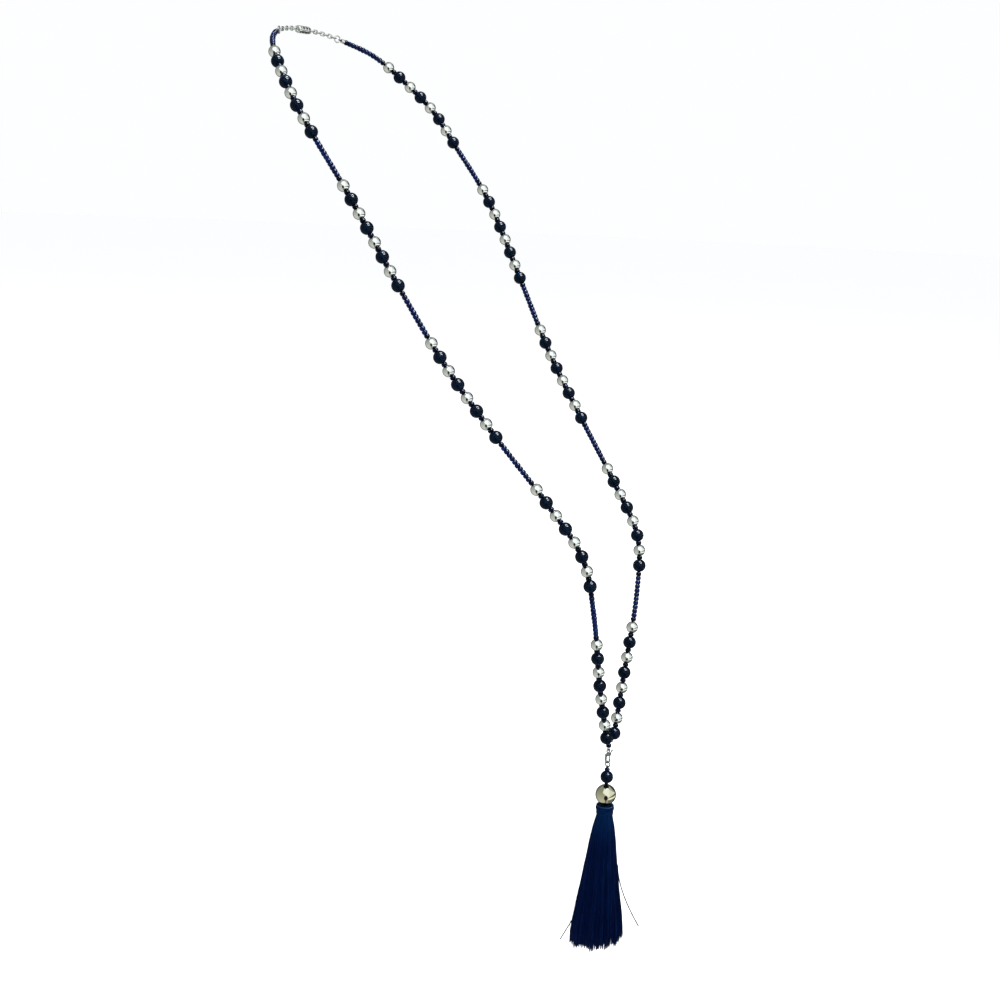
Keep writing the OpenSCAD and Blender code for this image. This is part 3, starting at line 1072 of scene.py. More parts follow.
@dataclass
class StrandBeads:
    """The round beads in groups, the seed between two of them, and the runs of seeds."""

    line: StrandLine
    chance: np.random.Generator
    stone_d: float = 6.4 * MM
    metal_d: float = 5.9 * MM
    bore: float = 1.3 * MM
    gap: float = 1.4 * MM
    pairs: int = 4
    groups: int = 5
    run_l: float = 24.6 * MM
    seed_d: float = 2.6 * MM
    seed_bore: float = 1 * MM
    spacer_d: float = 2.9 * MM
    nest: float = 0.09 * MM
    seeds_in_run: int = 12
    first_stone: float = 4 * MM
    spacer_tone: float = 0.25
    spacer_lean: float = 0.08
    seed_lean: float = 0.07
    end_tone: float = 0.12
    run_tones: tuple[float, float] = (0.45, 1)
    seed_widths: tuple[float, float] = (1.0, 1.12)
    seed_lengths: tuple[float, float] = (1.0, 1.06)

    @property
    def step(self) -> float:
        """Between a stone bead and the metal bead next to it."""
        return (self.stone_d + self.metal_d) / 2 + self.gap

    def stone_at(self, group: int, pair: int) -> float:
        """Gives a stone bead's length along the line."""
        pitch = (2 * self.pairs - 1) * self.step + (self.metal_d + self.stone_d) / 2 + self.run_l
        return self.first_stone + group * pitch + 2 * pair * self.step

    def run_start(self, group: int) -> float:
        """Gives the length along the line at which a group's run of seeds starts."""
        return self.stone_at(group, self.pairs - 1) + self.step + self.metal_d / 2

    def strung(self, lengths: Sequence[float], lean: float = 0.0) -> list[Matrix]:
        """Gives the places of beads on both halves, each turned by chance.

        Args:
            lengths: Lengths along the line.
            lean: The most that a bead tilts, in radians.

        Returns:
            One matrix for each bead.
        """
        draw = self.chance
        return [self.line.stand(length, side, draw.uniform(0, FULL_TURN),
                                draw.normal(0, 0.4) * lean)
                for side in SIDES for length in lengths]

    def build(self) -> None:
        """Makes the four sorts of beads of the strand."""
        slots = [(group, pair) for group in range(self.groups) for pair in range(self.pairs)]
        stones = [self.stone_at(*slot) for slot in slots]
        metals = [length + self.step for length in stones]
        tones = self.chance.uniform(0, 1, 2 * len(stones))
        for name, diameter, lengths, finish, slot, node in (
                ("stone", self.stone_d, stones, STONE, Slot.STONE, "stone_beads"),
                ("metal", self.metal_d, metals, SMALL_METAL, Slot.METAL, "metal_beads")):
            beads = scatter(drilled_ball(name, diameter, self.bore), self.strung(lengths),
                            name + "_bead_set", tones)
            finish_piece(beads, finish, slot, Body.STRAND, node)
        self.build_spacers(slots)
        self.build_runs()

    def build_spacers(self, slots: Sequence[tuple[int, int]]) -> None:
        """Makes the dark seed bead between each two round beads.

        Args:
            slots: Group and pair of each stone bead.
        """
        after_stone = (self.stone_d + self.gap) / 2
        after_metal = self.step + (self.metal_d + self.gap) / 2
        inner = [slot for slot in slots if slot[1] < self.pairs - 1]
        lengths = [self.stone_at(*slot) + after_stone for slot in slots]
        lengths += [self.stone_at(*slot) + after_metal for slot in inner]
        shape = drilled_seed("spacer", self.spacer_d, self.seed_bore, self.gap + 2 * self.nest,
                             rounding=0.36)
        tones = self.chance.uniform(0, self.spacer_tone, 2 * len(lengths))
        places = self.strung(lengths, self.spacer_lean)
        finish_piece(scatter(shape, places, "spacer_seed_set", tones),
                     SEED, Slot.DARK_SEED, Body.STRAND)

    def build_runs(self) -> None:
        """Makes the runs of seed beads, each bead of a slightly different size and tone."""
        draw, count = self.chance, self.seeds_in_run
        pitch = self.run_l / count
        shape = drilled_seed("seed", self.seed_d, self.seed_bore, pitch, rounding=0.8)
        places, tones = [], []
        for side, group, number in product(SIDES, range(self.groups), range(count)):
            length = self.run_start(group) + (number + 0.5) * pitch
            place = self.line.stand(
                length, side, draw.uniform(0, FULL_TURN), draw.normal(0, self.seed_lean))
            width, long = draw.uniform(*self.seed_widths), draw.uniform(*self.seed_lengths)
            places.append(place @ Matrix.Diagonal((width, width, long, 1)))
            at_end = number in (0, count - 1)
            tones.append(self.end_tone if at_end else draw.uniform(*self.run_tones))
        finish_piece(scatter(shape, places, "seed_run_set", tones),
                     SEED, Slot.COBALT, Body.STRAND, "seed_runs")


@dataclass
class BackClosure:
    """Crimps, end rings, chain and barrel clasp at the nape."""

    line: StrandLine
    beads: StrandBeads
    crimp_l: float = 2 * MM
    crimp_d: float = 2.2 * MM
    crimp_bore: float = 1.2 * MM
    end_ring_d: float = 4 * MM
    end_ring_wire: float = 0.7 * MM
    link_l: float = 3.3 * MM
    link_w: float = 1.8 * MM
    link_wire: float = 0.6 * MM
    barrel_l: float = 9 * MM
    barrel_d: float = 3.8 * MM
    barrel_round: float = 0.8 * MM
    barrel_groove: float = 0.18 * MM
    eye_d: float = 3.1 * MM
    eye_wire: float = 0.7 * MM
    thread_r: float = 0.2 * MM
    seat: float = 0.05 * MM
    play: float = 0.15 * MM

    def build(self) -> None:
        """Makes the crimps, the rings and links, and the barrel with its eyes."""
        run_end = self.beads.run_start(self.beads.groups - 1) + self.beads.run_l
        crimp_at = run_end + self.crimp_l / 2 + 2 * self.seat
        near = crimp_at + (self.crimp_l + self.end_ring_wire) / 2 + self.thread_r + 2 * self.play
        far = near + self.end_ring_d - self.end_ring_wire
        crimp = drilled_seed("crimp", self.crimp_d, self.crimp_bore, self.crimp_l, turns=16)
        for thing, node in ((self.both(crimp, crimp_at, "end_crimp_pair"), "end_crimps"),
                            (self.chain(near, far), "back_chain"),
                            (self.barrel(), "back_clasp")):
            finish_piece(thing, BACK_SILVER, Slot.FINDING, Body.STRAND, node)

    def both(self, shape: Piece, length: float, name: str) -> Piece:
        """Puts a shape at a length along the line, on both sides."""
        return scatter(shape, [self.line.stand(length, side) for side in SIDES], name)

    def chain(self, near: float, far: float) -> Piece:
        """Makes the end rings and the links.

        Args:
            near: Where the end ring's wire holds the thread, along the line.
            far: Where its wire holds the first link.

        Returns:
            The rings and links of both sides as one piece.
        """
        overlap = self.link_wire + self.play
        first = (self.end_ring_wire + self.link_wire) / 2 + self.play
        last = (self.eye_wire + self.link_wire) / 2 + self.play
        eye = self.line.reach[-1] - (self.barrel_l / 2 + self.eye_d - 1.5 * self.eye_wire)
        span = eye - far + first + last
        count = 2 * max(0, round(((span - overlap) / (self.link_l - overlap) - 1) / 2)) + 1
        length = (span + (count - 1) * overlap) / count
        start, pitch = far - first + length / 2, length - overlap
        places = [self.line.stand(start + i * pitch, side, (i % 2) * math.pi / 2)
                  for side in SIDES for i in range(count)]
        link = oval_link("link", length, self.link_w, self.link_wire)
        links = scatter(link, places, "back_links")
        ring = torus("end_ring", (self.end_ring_d - self.end_ring_wire) / 2, self.end_ring_wire,
                     (0, 0, 0), (1, 0, 0), sides=8)
        return fuse("back_chain_links",
                    [links, self.both(smooth(ring), (near + far) / 2, "end_rings")])

    def barrel(self) -> Piece:
        """Makes the barrel clasp, with a turned groove at each shoulder and round its middle.

        Returns:
            The clasp with its eyes.
        """
        half, radius = self.barrel_l / 2, self.barrel_d / 2
        corner, groove = self.barrel_round, self.barrel_groove
        outline = [(0.0, -half)]
        for step in range(5):
            turn = math.radians(90 * step / 4)
            outline.append((radius - corner * (1 - math.sin(turn)),
                            -half + corner * (1 - math.cos(turn))))
        end = outline[:]
        for place in (-half * 0.55, 0.0, half * 0.55):
            outline += [(radius, place - groove), (radius - groove, place),
                        (radius, place + groove)]
        outline += [(r, -z) for r, z in reversed(end)]
        turned = lathe("barrel", outline, (0, 0, 0), turns=40)
        turned.rotation_euler = (0, math.pi / 2, 0)
        parts = [smooth(settle(turned), GROOVE_ANGLE)]
        offset = half + self.eye_d / 2 - self.eye_wire
        for side in SIDES:
            eye = torus("eye", (self.eye_d - self.eye_wire) / 2, self.eye_wire,
                        (side * offset, 0, 0), (0, 1, 0))
            parts.append(smooth(eye))
        return fuse("barrel_clasp", parts)


@dataclass
class FrontClasp:
    """The small clasp in front, its lever, and the jump ring that it holds."""

    pin: Vector = field(default_factory=lambda: joint_place("lever_hinge"))
    claw_low: Vector = field(default_factory=lambda: joint_place("ring_swing"))
    ring_low: Vector = field(default_factory=lambda: joint_place("drop_swing"))
    eye_r: float = 0.9 * MM
    eye_wire: float = 0.7 * MM
    claw_w: float = 2.7 * MM
    claw_wire: float = 0.9 * MM
    head_r: float = 0.8 * MM
    cheek_in: float = 0.3 * MM
    slot: float = 0.84 * MM
    pin_r: float = 0.22 * MM
    hub_wall: float = 0.33 * MM
    lever_t: float = 0.64 * MM
    tab_l: float = 2.1 * MM
    tab_lean: float = math.radians(42)
    ring_r: float = 1.5 * MM
    ring_wire: float = 0.6 * MM
    ring_cut: float = math.radians(4)
    seat: float = 0.05 * MM
    grain: float = 0.055 * MM
    turn: float = field(init=False)

    def __post_init__(self) -> None:
        """Reads the clasp's turn from its pin, then puts the pin back to where it is made."""
        reach = (self.pin - self.claw_low).xy
        self.turn = math.atan2(reach.y, reach.x)
        self.pin = Vector((self.claw_low.x + reach.length, self.claw_low.y, self.pin.z))

    def build(self) -> None:
        """Makes the clasp, the lever and the ring."""
        for make, body, node in ((self.clasp, Body.STRAND, "front_clasp"),
                                 (self.lever, Body.LEVER, "clasp_lever"),
                                 (self.jump_ring, Body.RING, "jump_ring")):
            finish_piece(self.faced(make()), SHADED_SILVER, Slot.FINDING, body, node)

    def faced(self, thing: Piece) -> Piece:
        """Turns a piece about the clasp's upright axis, to the way that the clasp faces.

        Args:
            thing: The piece as it was made.

        Returns:
            The same piece.
        """
        axis = Matrix.Translation((self.claw_low.x, self.claw_low.y, 0))
        thing.matrix_world = axis @ Matrix.Rotation(self.turn, 4, "Z") @ axis.inverted()
        return settle(thing)

    def clasp(self) -> Piece:
        """Makes the eye, the head with its slot, and the claw, cast as one.

        Returns:
            The clasp's body.
        """
        y, z, head = self.pin.y, self.pin.z, self.head_r
        half, post = self.claw_w / 2, self.claw_wire / 2
        eye_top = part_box("front_clasp")[1].z - self.eye_wire / 2
        claw_z = self.claw_low.z + half
        left, right = (self.cheek_in - half, y, z), (self.pin.x, y, z)
        body = fuse("clasp_body", [
            torus("eye", self.eye_r, self.eye_wire, (0, y, eye_top - self.eye_r), (0, 1, 0)),
            rod("post", (0, y, eye_top - 2 * self.eye_r), (0, y, z), (post, post * 1.3)),
            rod("head", left, right, (head, head)),
            ball("cheek", left, (head, head, head)),
            ball("cheek", right, (head, head, head)),
            rod("arm", (-half, y, z), (-half, y, claw_z), (post * 1.25, post)),
            bent_wire("claw", (-half, y, claw_z), post, (0, y, claw_z), (0, 1, 0), math.pi,
                      steps=14, sides=16),
            ball("tip", (half, y, claw_z), (post, post, post * 0.3), 16),
        ])
        modify(body, "REMESH", mode="VOXEL", voxel_size=self.grain)
        cutter = add("slot_cutter", bpy.ops.mesh.primitive_cube_add, size=1,
                     location=(post + half, y, z), scale=(self.claw_w, self.slot, 2.1 * head))
        modify(body, "BOOLEAN", operation="DIFFERENCE", object=cutter, solver="EXACT")
        bpy.data.objects.remove(cutter)
        cast(body, self.grain, softening=4, keep=0.35)
        wide, flat = self.pin_r * 1.3, self.pin_r * 0.7
        rivets = [ball("rivet", (self.pin.x, y + side * head * 0.94, z), (wide, flat, wide), 12)
                  for side in SIDES]
        return fuse("clasp_body", [body, *map(smooth, rivets)])

    def lever(self) -> Piece:
        """Makes the lever: its hub, its arm down to the claw, and its thumb tab.

        Returns:
            The lever.
        """
        pin, half, side = self.pin, self.lever_t / 2, Vector((0, self.lever_t / 2, 0))
        hub = self.pin_r + self.hub_wall
        arm = pin.z - (self.claw_low.z + self.claw_w / 2) - 2 * self.seat
        tab = pin + Vector((math.sin(self.tab_lean), 0, math.cos(self.tab_lean))) * self.tab_l
        pad = ball("pad", (0, 0, 0), (half * 1.9, half * 1.5, half), 16)
        pad.rotation_euler = (0, self.tab_lean + math.pi / 2, 0)
        pad.location = tab
        parts = [
            rod("hub", pin - side, pin + side, (hub, hub), 24),
            rod("arm", pin, pin - Vector((0, 0, arm)), (half * 1.1, half * 0.86)),
            rod("stem", pin, tab, (half * 0.95, half * 0.8)),
            settle(pad),
        ]
        return cast(fuse("lever_arm", parts), self.grain * 0.8, softening=3, keep=0.4)

    def jump_ring(self) -> Piece:
        """Bends the jump ring from wire, in the plane that faces sideways, cut at its side.

        Returns:
            The ring.
        """
        centre = self.ring_low + Vector((0, 0, self.ring_r))
        end = (centre.x, centre.y + self.ring_r, centre.z)
        ring = bent_wire("jump_ring_wire", end, self.ring_wire / 2, centre, (1, 0, 0),
                         FULL_TURN - self.ring_cut, steps=40, sides=14)
        return smooth(ring, ROUND_ANGLE)


@dataclass
class Drop:
    """The seed bead at the join, and the beads over the tassel."""

    two_leg_bore: float = 1.3 * MM
    lower_seed_d: float = 1.8 * MM
    seat: float = 0.05 * MM
    turns: int = 32
    ball_turns: int = 48

    def placed(self, shape: Piece, place: Sequence[float], name: str, tone: float) -> Piece:
        """Puts one modelled shape in its place, with its tone."""
        return scatter(shape, [Matrix.Translation(place)], name, [tone])

    def bead(self, node: str, name: str, finish: Finish, slot: Slot) -> None:
        """Makes one round bead in the place and size of its node.

        Args:
            node: The node that it stands for.
            name: The new piece's name.
            finish: Its finish.
            slot: The record's slot.
        """
        low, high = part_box(node)
        shape = drilled_ball("round", high.x - low.x, self.two_leg_bore, self.ball_turns)
        finish_piece(self.placed(shape, (low + high) / 2, name, 0.5),
                     finish, slot, Body.DROP, node)

    def build(self) -> None:
        """Makes the join's seed bead, the drop's seed beads and its two round beads."""
        low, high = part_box("join_seed_bead")
        size = high - low
        seed = drilled_seed("join", size.x, self.two_leg_bore, size.z, self.turns)
        finish_piece(self.placed(seed, (low + high) / 2, "join_seed", 0.15),
                     SEED, Slot.DARK_SEED, Body.STRAND, "join_seed_bead")
        self.bead("drop_stone_bead", "drop_stone", STONE, Slot.STONE)
        self.bead("drop_metal_bead", "drop_ball", LARGE_METAL, Slot.METAL)
        low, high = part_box("drop_seed_beads")
        stone_low, stone_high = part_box("drop_stone_bead")
        axis = (stone_low + stone_high) / 2
        seeds = []
        for name, diameter, foot, top, tone in (
                ("upper", high.x - low.x, stone_high.z + self.seat, high.z, 0.6),
                ("lower", self.lower_seed_d, low.z, stone_low.z - self.seat, 0.1)):
            shape = drilled_seed(name, diameter, self.two_leg_bore, top - foot, self.turns)
            seeds.append(self.placed(shape, (axis.x, axis.y, (top + foot) / 2), name, tone))
        finish_piece(fuse("drop_seed_pair", seeds),
                     SEED, Slot.DARK_SEED, Body.DROP, "drop_seed_beads")


@dataclass
class Tassel:
    """The bound head and the skirt of floss."""

    chance: np.random.Generator
    head_d: float = 8.8 * MM
    rim_d: float = 9.2 * MM
    head_h: float = 5.2 * MM
    neck_r: float = 4.1 * MM
    skirt_l: float = 66.6 * MM
    skirt_r: float = 13 * MM
    locks: int = 16
    lock_depth: float = 1.3 * MM
    notch: float = 0.7 * MM
    cut_play: float = 0.9 * MM
    slant: float = 1.8 * MM
    long_side: float = math.radians(120)
    lean: float = 0.6 * MM
    hole_r: float = 0.65 * MM
    floss_per_lock: int = 84
    floss_r: float = 0.2 * MM
    wisp: int = 8
    turn_play: float = 0.02
    depth_power: float = 1.6
    depth_share: float = 0.17
    sway: float = 0.035
    reach_play: float = 0.22 * MM
    light_share: float = 0.07
    pale_share: float = 0.025
    pale_amount: float = 0.4
    inner_count: int = 520
    stray_count: int = 14
    stray_r: float = 0.11 * MM
    far_stray_r: float = 0.29 * MM
    folds: int = 88
    fold_r: float = 0.17 * MM
    # The folds' fixed share of the way down, which gives them part of the painted top light
    fold_down: float = 0.17
    windings: int = 6
    wire: float = 0.36 * MM
    # Thickness of the pale top turn, the painted highlight on the head's rim
    rim_wire: float = 0.3 * MM
    # Share of the way down, share of the way from the neck's radius to the full one
    outline: Sequence[tuple[float, float]] = (
        (0, 0), (0.05, 0.09), (0.1, 0.17), (0.17, 0.265), (0.26, 0.345), (0.36, 0.425),
        (0.45, 0.54), (0.55, 0.62), (0.65, 0.745), (0.75, 0.85), (0.82, 0.95), (0.9, 1),
        (1, 1.01))
    top: Vector = field(init=False)

    def __post_init__(self) -> None:
        """Takes the head's place from the frame."""
        swing = joint_place("drop_swing")
        self.top = Vector((swing.x, swing.y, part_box("tassel")[1].z))

    @property
    def foot(self) -> float:
        """Height at which the skirt leaves the head."""
        return self.top.z - self.head_h

    def build(self) -> None:
        """Makes the head, its binding, the core and the floss."""
        for make in (self.head, self.binding, self.floss):
            finish_piece(make(), SILK, Slot.SILK, Body.DROP, "tassel")

    def full(self, down: np.ndarray) -> np.ndarray:
        """Gives the skirt's radius at the middle of a lock, by share of the way down."""
        shares, swells = zip(*self.outline)
        return self.neck_r + (self.skirt_r - self.neck_r) * np.interp(down, shares, swells)

    def hump(self, turn: np.ndarray) -> np.ndarray:
        """Gives 1 at the middle of a lock and 0 between two locks."""
        return np.abs(np.sin(turn * self.locks / 2))

    def radius(self, down: np.ndarray, turn: np.ndarray) -> np.ndarray:
        """Gives the skirt's radius, by share of the way down and by angle."""
        return self.full(down) - self.lock_depth * np.clip(down, 0, 1) * (1 - self.hump(turn))

    def length(self, turn: np.ndarray) -> np.ndarray:
        """Gives the skirt's length before its locks are cut, longest on one side."""
        return self.skirt_l + self.slant * np.cos(turn - self.long_side)

    def round_paths(self, turn: np.ndarray, radius: np.ndarray, height: np.ndarray) -> np.ndarray:
        """Puts angles, radii and heights round the tassel's axis, which leans under the head.

        Args:
            turn: Angles, as strand and step.
            radius: Radii, in the same layout.
            height: Heights, in the same layout.

        Returns:
            Places, as strand, step and coordinate.
        """
        turn, radius, height = np.broadcast_arrays(turn, radius, height)
        down = np.clip((self.foot - height) / self.skirt_l, 0, 1)
        aside = self.lean * (1 - (1 - down) ** 2)
        return np.stack([self.top.x + radius * np.cos(turn) + aside * math.cos(self.long_side),
                         self.top.y + radius * np.sin(turn) + aside * math.sin(self.long_side),
                         height], axis=-1)

    def head(self) -> Piece:
        """Makes the head: floss folded over a knot, from the hole to under the binding.

        Returns:
            The folded floss on its filled core.
        """
        folds, thick, tall = self.folds, self.fold_r, self.head_h
        edge, rim, neck = self.head_d / 2, self.rim_d / 2, self.neck_r
        # Radius, and share of the way down the head
        rows = np.array([
            (0.9 * MM, 0.0), (edge - 0.7 * MM, 0.0), (edge - 0.12 * MM, 0.025), (edge, 0.09),
            (rim - 0.05 * MM, 0.24), (rim, 0.36), (rim - 0.2 * MM, 0.43),
            (neck - 0.15 * MM, 0.5), (neck - 0.4 * MM, 0.8), (neck - 0.6 * MM, 0.95)])
        turn = np.arange(folds) * FULL_TURN / folds + self.chance.normal(0, 0.012, folds)
        reach = rows[:, 0] - thick + self.chance.normal(0, 0.04 * MM, (folds, 1))
        heights = self.top.z - thick - rows[:, 1] * (tall - thick)
        tones = self.chance.uniform(0, 0.5, folds)
        strands = fibres("folds", self.round_paths(turn[:, None], reach, heights),
                         np.full(reach.shape, thick), turn, tones, 6)
        # The folds take part of the skirt's painted top light through a fixed share of the way
        # down
        top_light = np.full(len(strands.data.vertices), self.fold_down, np.float32)
        strands.data.attributes["down"].data.foreach_set("value", top_light)
        inner = [(self.hole_r, -0.55 * tall), (self.hole_r, -2 * thick)]
        inner += [(float(r) - 1.6 * thick, -float(h) * tall - 1.4 * thick) for r, h in rows[1:]]
        inner += [(0.0, -tall * 1.05), (0.0, -0.55 * tall)]
        core = smooth(lathe("head_core", inner, self.top, turns=48))
        return fuse("tassel_head", [strands, tint(core, 0.1)])

    def binding(self) -> Piece:
        """Winds thread round the neck, and lays one pale turn on the head's top rim as a painted
        highlight on its edge.

        Returns:
            The turns of thread.
        """
        start, pitch = self.foot + self.head_h * 0.47, self.wire * 0.94
        rows = [(self.neck_r + 0.02 * MM, start - number * pitch, self.wire, 0.0)
                for number in range(self.windings)]
        # The pale top turn is a painted highlight where the head's top rim catches the light
        rows.append((self.head_d / 2 - 0.12 * MM, self.top.z - 0.6 * self.rim_wire,
                     self.rim_wire, 1.0))
        parts = []
        for radius, height, wire, pale_and_glint in rows:
            lean = self.chance.normal(0, 0.012) * (1 - pale_and_glint)
            ring = torus("turn", radius, wire, (self.top.x, self.top.y, height),
                         (lean, -lean, 1), turns=64, sides=8)
            parts.append(tint(smooth(ring), 0.15, pale_and_glint))
        return fuse("tassel_binding", parts)

    def floss(self) -> Piece:
        """Hangs the skirt's strands round a dark core, cut unevenly at the ends.

        Returns:
            The strands and the core.
        """
        draw, count = self.chance, self.locks * self.floss_per_lock
        down = np.concatenate([[-0.035], np.linspace(0, 1, 11)])
        turn = np.arange(count) * FULL_TURN / count + draw.normal(0, self.turn_play, count)
        depth = draw.uniform(0, 1, (count, 1)) ** self.depth_power
        lock = np.floor(turn / FULL_TURN * self.locks)
        hump = self.hump(turn)
        cut = self.cut_play * np.sin(np.radians(137 * lock + 20)) * np.cos(np.radians(61 * lock))
        wisps = np.repeat(draw.normal(-0.2, 0.9, count // self.wisp), self.wisp) * MM
        length = (self.length(turn) + cut * hump - self.notch * (1 - hump) + wisps
                  + draw.normal(-0.3, 0.5, count) * MM)
        wave = draw.uniform(0, FULL_TURN, (count, 1))
        sway = np.clip(down, 0, 1) ** 1.5 * np.sin(wave + down * draw.uniform(2, 7, (count, 1)))
        angle = turn[:, None] + sway * self.sway
        reach = self.radius(down, angle) * (1 - self.depth_share * depth) - self.floss_r
        reach += np.clip(down, 0, 1) * draw.normal(0, self.reach_play, (count, 1))
        paths = self.round_paths(angle, reach, self.foot - length[:, None] * down)
        taper = np.interp(down, (0, 0.3, 0.93, 1), (0.75, 1, 1, 0.45))
        radii = self.floss_r * taper * draw.uniform(0.8, 1.15, (count, 1))
        tones = np.where(draw.uniform(0, 1, count) < self.light_share,
                         draw.uniform(0.6, 1, count), draw.uniform(0, 0.35, count))
        pales = np.where(draw.uniform(0, 1, count) < self.pale_share, self.pale_amount, 0.0)
        outer = fibres("outer_floss", paths, radii, turn, tones, pales=pales)
        return fuse("tassel_floss", [outer, self.inner_ends(), self.strays(), self.core()])

    def inner_ends(self) -> Piece:
        """Fills the skirt's open end with short strands.

        Returns:
            The strands.
        """
        draw, count = self.chance, self.inner_count
        down = np.array([0.8, 0.9, 0.97, 1.0])
        turn = draw.uniform(0, FULL_TURN, count)
        share = np.sqrt(draw.uniform(0.01, 0.75, count))[:, None]
        reach = self.radius(down, turn[:, None]) * share * np.array([0.9, 0.97, 1.0, 1.01])
        length = (self.length(turn) + draw.normal(-0.9, 0.7, count) * MM)[:, None]
        radii = np.tile(self.floss_r * 1.3 * np.array([1, 1, 0.9, 0.5]), (count, 1))
        paths = self.round_paths(turn[:, None], reach, self.foot - length * down)
        return fibres("inner_floss", paths, radii, turn, draw.uniform(0, 0.4, count))

    def strays(self) -> Piece:
        """Adds a few loose strands that stand off the skirt, two of them well out.

        Returns:
            The loose strands.
        """
        draw, count, share = self.chance, self.stray_count, np.linspace(0, 1, 9)
        turn = draw.uniform(0, FULL_TURN, count)
        away = draw.uniform(0.3, 1.3, (count, 1)) * MM
        leaves, ends = np.full((count, 1), 0.35), draw.uniform(0.93, 1.0, (count, 1))
        turn[:2] = self.long_side, self.long_side + math.pi
        leaves[:2, 0], ends[:2, 0] = (0.815, 0.4), (1.025, 0.89)
        down = leaves + (ends - leaves) * share
        reach = self.radius(down, turn[:, None]) + away * share ** 3
        reach[0] = (10.9 + 7 * share) * MM
        reach[1] = (8.5 + 12.7 * share ** 1.57) * MM
        radii = np.full(down.shape, self.stray_r)
        radii[:2] = self.far_stray_r
        turns = turn[:, None] + 0.03 * np.sin(3 * down + turn[:, None])
        paths = self.round_paths(turns, reach, self.foot - self.skirt_l * down)
        return fibres("stray_floss", paths, radii, turn, np.full(count, 0.5))

    def core(self) -> Piece:
        """Turns the dark body inside the strands.

        Returns:
            The core.
        """
        down = np.array((0.0, 0.1, 0.25, 0.45, 0.7, 0.88))
        radii, heights = 0.84 * self.full(down) - self.lock_depth * down, -down * self.skirt_l
        rows = [(0.0, 0.06 * MM), *zip(radii.tolist(), heights.tolist()), (0.0, heights[-1])]
        core = lathe("floss_core", rows, (self.top.x, self.top.y, self.foot), turns=48)
        return tint(smooth(core), 0.0)


# The studio


